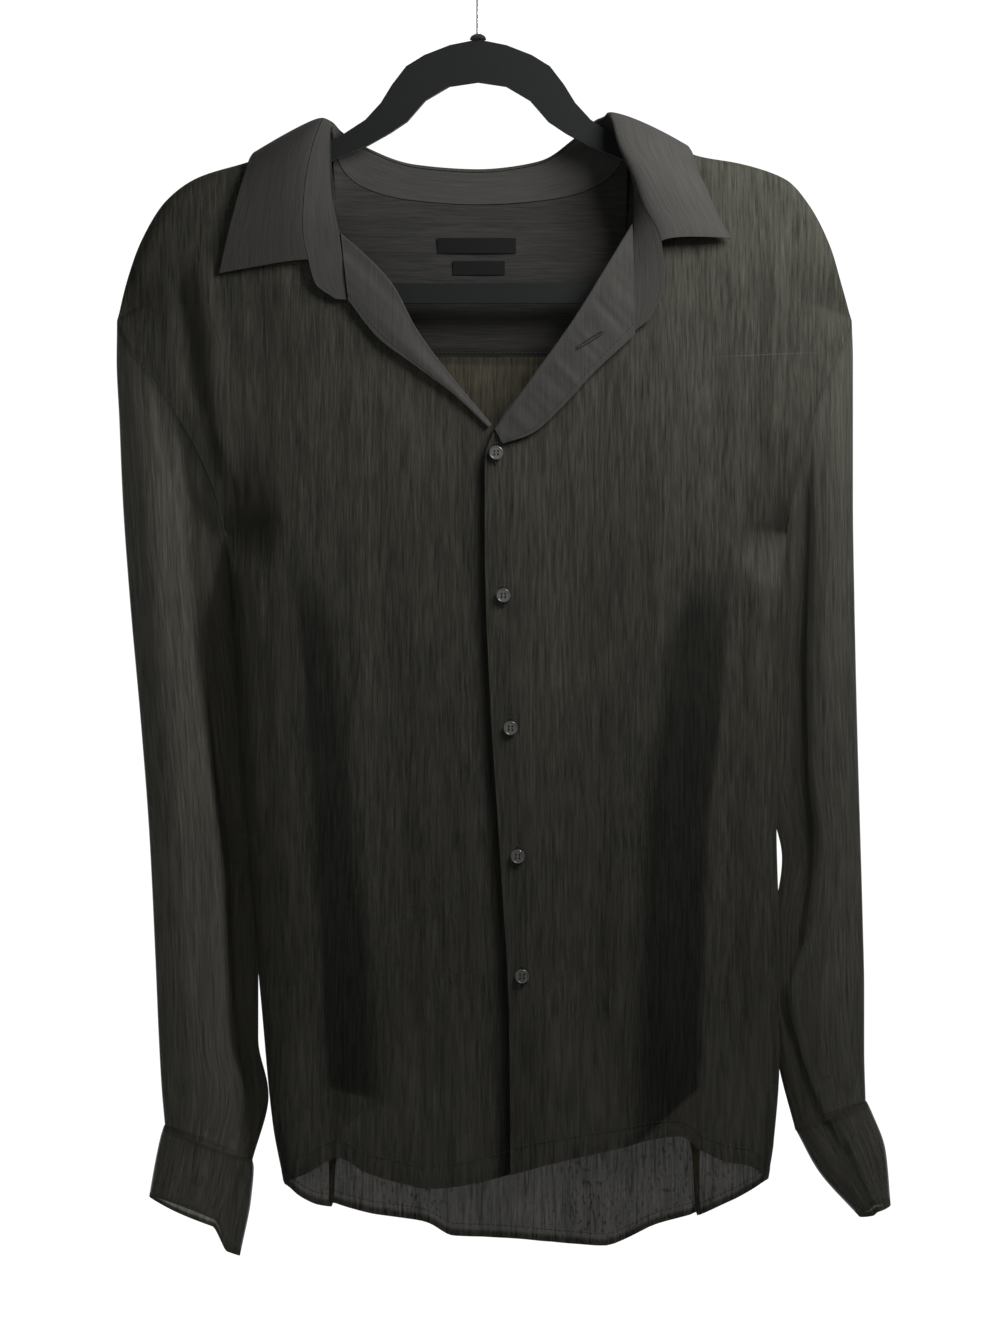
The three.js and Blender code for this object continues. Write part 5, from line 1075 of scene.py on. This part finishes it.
# Leaf: a cubic Bezier from the seam up, over the roll and down to the free edge
def makeLeaf():
    t = np.linspace(leafEnds[0], leafEnds[1], collarLook["leaf"])
    low, seam, edge = (collarPoint(t, k) for k in "nse")
    rise = unit(seam - low)
    reach = edge - seam
    turned = (1 - np.sum(rise * unit(reach), axis=-1, keepdims=True)) / 2
    aside = unit(reach - rise * np.sum(rise * reach, axis=-1, keepdims=True))
    start = seam + rise * 0.4
    roll = 0.8 + valueAt(collarStations, "roll", t)[:, None]
    second = start + rise * roll + aside * (0.6 * rollBulge * turned)
    third = second + reach * 0.35 + aside * (rollBulge * turned)
    w = np.linspace(0, 1, collarLook["leafRows"])[:, None, None]
    points = (1 - w) ** 3 * start + 3 * w * (1 - w) ** 2 * second + 3 * w**2 * (1 - w) * third + w**3 * edge
    uv = np.stack(np.broadcast_arrays(w[..., 0] * collarLook["leafWidth"], goneAlong(edge)), axis=-1)
    piece = shell("collar_leaf_cloth", points, collarCloth, collarLook["leafThickness"], uv=uv, denseAndShade=0.15)
    return place(piece, "cloth", "collar_leaf"), points


leaf, leafGrid = makeLeaf()
print("stage: collar")

bandLook = {"along": 120, "across": 30, "roll": 9, "radius": 0.7, "thickness": 0.8, "off": 1.4,
            "waves": (3, 16, 0.25)}


# Turned-out band: a half circle round the roll line, then out to the free edge over the front
def makeBand(side, node):
    band = turnedBands[side]
    t = np.linspace(0, 1, bandLook["along"])[None, :]
    u = np.linspace(0, 1, bandLook["across"])[:, None]
    x = mix(valueAt(band["roll"], "x", t), valueAt(band["outer"], "x", t), u)
    z = mix(valueAt(band["roll"], "z", t), valueAt(band["outer"], "z", t), u)
    rise = valueAt(band["lift"], "y", t) * smooth(u / 0.7)
    lap = frontLift(x, z) if side == "left" else 0
    waves = ripples(x + z, x - z, *bandLook["waves"]) * smooth(u / 0.3) * smooth((1 - u) / 0.2)
    y = frontY(side, x, z) - lap - bandLook["off"] - rise + waves
    flat = stack(x, y, z)
    out = unit(flat[0] - flat[3])
    angle = np.linspace(np.pi, 0, bandLook["roll"], endpoint=False)[:, None, None]
    radius = bandLook["radius"]
    middle = flat[0] + np.array([0, radius, 0])
    rolled = middle + radius * (1.6 * np.sin(angle) * out + np.cos(angle) * np.array([0, -1.0, 0]))
    points = np.concatenate([rolled, flat])
    piece = shell(f"{node}_cloth", points, collarCloth, bandLook["thickness"], denseAndShade=0.1)
    return place(piece, "cloth", node), points


buttonBand, buttonBandGrid = makeBand("right", "button_band")
buttonholeBand, buttonholeBandGrid = makeBand("left", "buttonhole_band")
print("stage: turned bands")

labelLook = {"wall": 0.5, "off": 0.65, "across": 24, "down": 10}


# A label: flat, before the foremost of the yoke's points behind it
def makeLabel(name, node, x, z, width, height):
    across = x + np.linspace(-0.5, 0.5, labelLook["across"]) * width
    down = z + np.linspace(0.5, -0.5, labelLook["down"]) * height
    px, pz = np.meshgrid(across, down)
    flat = yokeGrid.reshape(-1, 3)
    apart = np.hypot(flat[None, :, 0] - px.ravel()[:, None], flat[None, :, 2] - pz.ravel()[:, None])
    near = np.argmin(apart, axis=1)
    y = flat[near, 1].min() - labelLook["off"]
    piece = shell(name, stack(px, y, pz), labelMaterial, labelLook["wall"])
    return place(piece, "label", node)


neckLabel = makeLabel("neck_label_satin", "neck_label", x=-1, z=-216.5, width=56, height=11)
sizeLabel = makeLabel("size_label_satin", "size_label", x=0.5, z=-232.5, width=37, height=10)


# Gives every slot of a kept solid one material
def paint(node, material):
    for slot in node.material_slots:
        slot.material = material


# Corners of a node's box in millimetres
def boxOf(name):
    return (np.array(corner) * 1000 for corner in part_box(name))


# Buttons keep their solids, with a raised rim and two threads
buttonLook = {"rimRadius": 4.35, "rimTube": 0.42, "threadTube": 0.3, "threadReach": 1.3}
buttonNodes = [f"front_button_{k}" for k in range(1, 6)]
buttonNodes += ["collar_button", "band_button", "cuff_button_right", "cuff_button_left"]
for name in buttonNodes:
    low, high = boxOf(name)
    paint(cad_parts[name], buttonMaterial)
    faceY = high[1] if name.startswith("cuff") else low[1]
    centre = np.array([(low[0] + high[0]) / 2, faceY, (low[2] + high[2]) / 2])
    turn = np.linspace(0, 2 * np.pi, 40, endpoint=False)
    circle = np.stack([np.cos(turn), 0 * turn, np.sin(turn)], axis=-1) * buttonLook["rimRadius"]
    rim = tubeAlong(f"{name}_rim", centre + circle, buttonLook["rimTube"], buttonMaterial, 10, True)
    place(rim, "button")
    reach = buttonLook["threadReach"]
    for label, right in (("a", -1), ("b", 1)):
        line = np.stack([np.full(7, right * reach), np.zeros(7), np.linspace(-reach, reach, 7)], axis=-1)
        tube = buttonLook["threadTube"]
        place(tubeAlong(f"{name}_thread_{label}", centre + line, tube, threadMaterial, 8), "cloth")

holeLook = {"wide": 1.0, "tall": 7.6, "tube": 0.33, "off": 0.75, "places": 44}


# Buttonhole: a worked edge of thread, an ellipse to the power 0.6 at a slant, just off the cloth
def makeButtonhole(name, x, y, z, slant, tall):
    turn = np.linspace(0, 2 * np.pi, holeLook["places"], endpoint=False)
    squared = lambda wave: np.sign(wave) * np.abs(wave) ** 0.6
    across, along = holeLook["wide"] * squared(np.cos(turn)), tall * squared(np.sin(turn))
    px = x + across * math.cos(slant) + along * math.sin(slant)
    pz = z - across * math.sin(slant) + along * math.cos(slant)
    path = stack(px, np.full(len(turn), y), pz)
    place(tubeAlong(name, path, holeLook["tube"], threadMaterial, 8, True), "cloth")


for k in range(1, 6):
    low, high = boxOf(f"front_button_{k}")
    middle = (low + high) / 2
    makeButtonhole(f"front_buttonhole_{k}", middle[0], high[1] - 0.2, middle[2], 0.0, holeLook["tall"])
bandFlat = buttonholeBandGrid.reshape(-1, 3)
bandHole = {"x": 79.0, "z": -288.5, "slant": 1.0, "tall": 10.5}
nearBand = np.hypot(bandFlat[:, 0] - bandHole["x"], bandFlat[:, 2] - bandHole["z"]) < bandHole["tall"]
bandY = bandFlat[nearBand, 1].min() - holeLook["off"]
makeButtonhole("band_buttonhole", bandHole["x"], bandY, bandHole["z"], bandHole["slant"], bandHole["tall"])
print("stage: buttons")


# Stitched rows: a line of a piece's grid, moved by millimetres of Y onto its face
stitchLines = {
    "front_left_edge_stitch": (leftGrid[70:, 6], -0.35), "front_right_hem_stitch": (rightGrid[-5], -0.7),
    "front_left_hem_stitch": (leftGrid[-5], -0.7), "back_hem_stitch": (backGrid[-4], -0.7),
    "yoke_seam_stitch": (yokeGrid[-2], 0.3), "yoke_seam_stitch_inside": (yokeGrid[-2], -0.4),
    "collar_leaf_stitch": (leafGrid[-6], 0), "button_band_stitch": (buttonBandGrid[-4], -0.5),
    "buttonhole_band_stitch": (buttonholeBandGrid[-4], -0.5),
}
for name, (line, off) in stitchLines.items():
    place(stitchRow(name, line + np.array([0, off, 0]), threadMaterial), "cloth")
print("stage: stitches")

for name in ("hanger_body", "hook_ferrule"):
    paint(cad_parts[name], velvetMaterial)
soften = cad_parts["hanger_body"].modifiers.new("soft edges", "BEVEL")
soften.width = 0.0014
soften.segments = 3
soften.limit_method = "ANGLE"
soften.angle_limit = math.radians(50)

hookLook = {"foot": -68.5, "wire": 1.4, "loop": 19.0, "bend": 8.5, "start": -72.0, "end": 205.0, "turn": 54.0}


# Hook: a straight shank, a bend and the loop's arc on one even wire
def makeHook():
    start, end, turn = (math.radians(hookLook[k]) for k in ("start", "end", "turn"))
    centreZ = hookLook["wire"] - hookLook["loop"]
    bendZ = centreZ + (hookLook["loop"] + hookLook["bend"]) * math.sin(start)
    shank = np.array([[0, 0, z] for z in np.linspace(hookLook["foot"], bendZ, 12, endpoint=False)])
    around = lambda angle, x, z: np.stack([x, 0 * angle, z], axis=-1)
    a, small = np.linspace(0, turn, 12, endpoint=False), hookLook["bend"]
    bend = around(a, small * (1 - np.cos(a)), bendZ + small * np.sin(a))
    b, large = np.linspace(start, end, 90), hookLook["loop"]
    loop = around(b, large * np.cos(b), centreZ + large * np.sin(b))
    path = np.concatenate([shank, bend, loop])
    for _ in range(6):
        path[1:-1] = (path[:-2] + 2 * path[1:-1] + path[2:]) / 4
    return place(tubeAlong("hook_wire", path, hookLook["wire"], wireMaterial, 16), "wire", "hanger_hook")


makeHook()
print("stage: hanger")

stageLook = {"floorZ": -2.0, "floorSize": 9.0, "front": 0.2, "behind": 1.05}
bpy.ops.mesh.primitive_plane_add(size=stageLook["floorSize"], location=(0, 0, stageLook["floorZ"]))
floor = bpy.context.object
floor.name = "floor"
floor.data.materials.append(plainMaterial("pale floor", (0.9, 0.9, 0.9), 0.9, specular=0.1))


# Studio surroundings: white behind the garment, dimmer before it, by the direction's Y
def studioWorld():
    world = bpy.context.scene.world or bpy.data.worlds.new("studio")
    bpy.context.scene.world = world
    world.use_nodes = True
    tree = world.node_tree
    coords = tree.nodes.new("ShaderNodeTexCoord")
    split = tree.nodes.new("ShaderNodeSeparateXYZ")
    tree.links.new(coords.outputs["Generated"], split.inputs["Vector"])
    level = rangeNode(tree, split.outputs["Y"], -0.1, 0.6, stageLook["front"], stageLook["behind"])
    tree.links.new(level, tree.nodes["Background"].inputs["Strength"])
    tree.nodes["Background"].inputs["Color"].default_value = (1, 1, 1, 1)


studioWorld()


# An area light at a place, aimed at a point
def areaLight(name, location, target, size, power):
    data = bpy.data.lights.new(name, "AREA")
    data.shape = "RECTANGLE"
    data.size, data.size_y = size
    data.energy = power
    light = bpy.data.objects.new(name, data)
    light.location = location
    toTarget = np.array(target) - np.array(location)
    light.rotation_euler = (math.atan2(math.hypot(toTarget[0], toTarget[1]), -toTarget[2]), 0,
                            math.atan2(toTarget[1], toTarget[0]) - math.pi / 2)
    bpy.context.scene.collection.objects.link(light)


areaLight("key", (0.4, -0.36, 0.06), (0.08, 0, -0.32), (0.3, 0.3), 15)
areaLight("fill", (-0.4, -1.2, -0.25), (0, 0, -0.4), (0.8, 0.8), 4)

cameraLook = {"distance": 2.2, "frameHeight": 1333 * 0.71e-3, "x": 0.0156, "z": -0.5178, "sensor": 36.0}
cameraData = bpy.data.cameras.new("camera")
cameraData.sensor_width = cameraLook["sensor"]
cameraData.lens = cameraLook["sensor"] * cameraLook["distance"] / cameraLook["frameHeight"]
camera = bpy.data.objects.new("camera", cameraData)
camera.location = (cameraLook["x"], -cameraLook["distance"], cameraLook["z"])
camera.rotation_euler = (math.pi / 2, 0, 0)
bpy.context.scene.collection.objects.link(camera)
bpy.context.scene.camera = camera
bpy.context.scene.view_settings.view_transform = "Standard"
print("stage: studio")
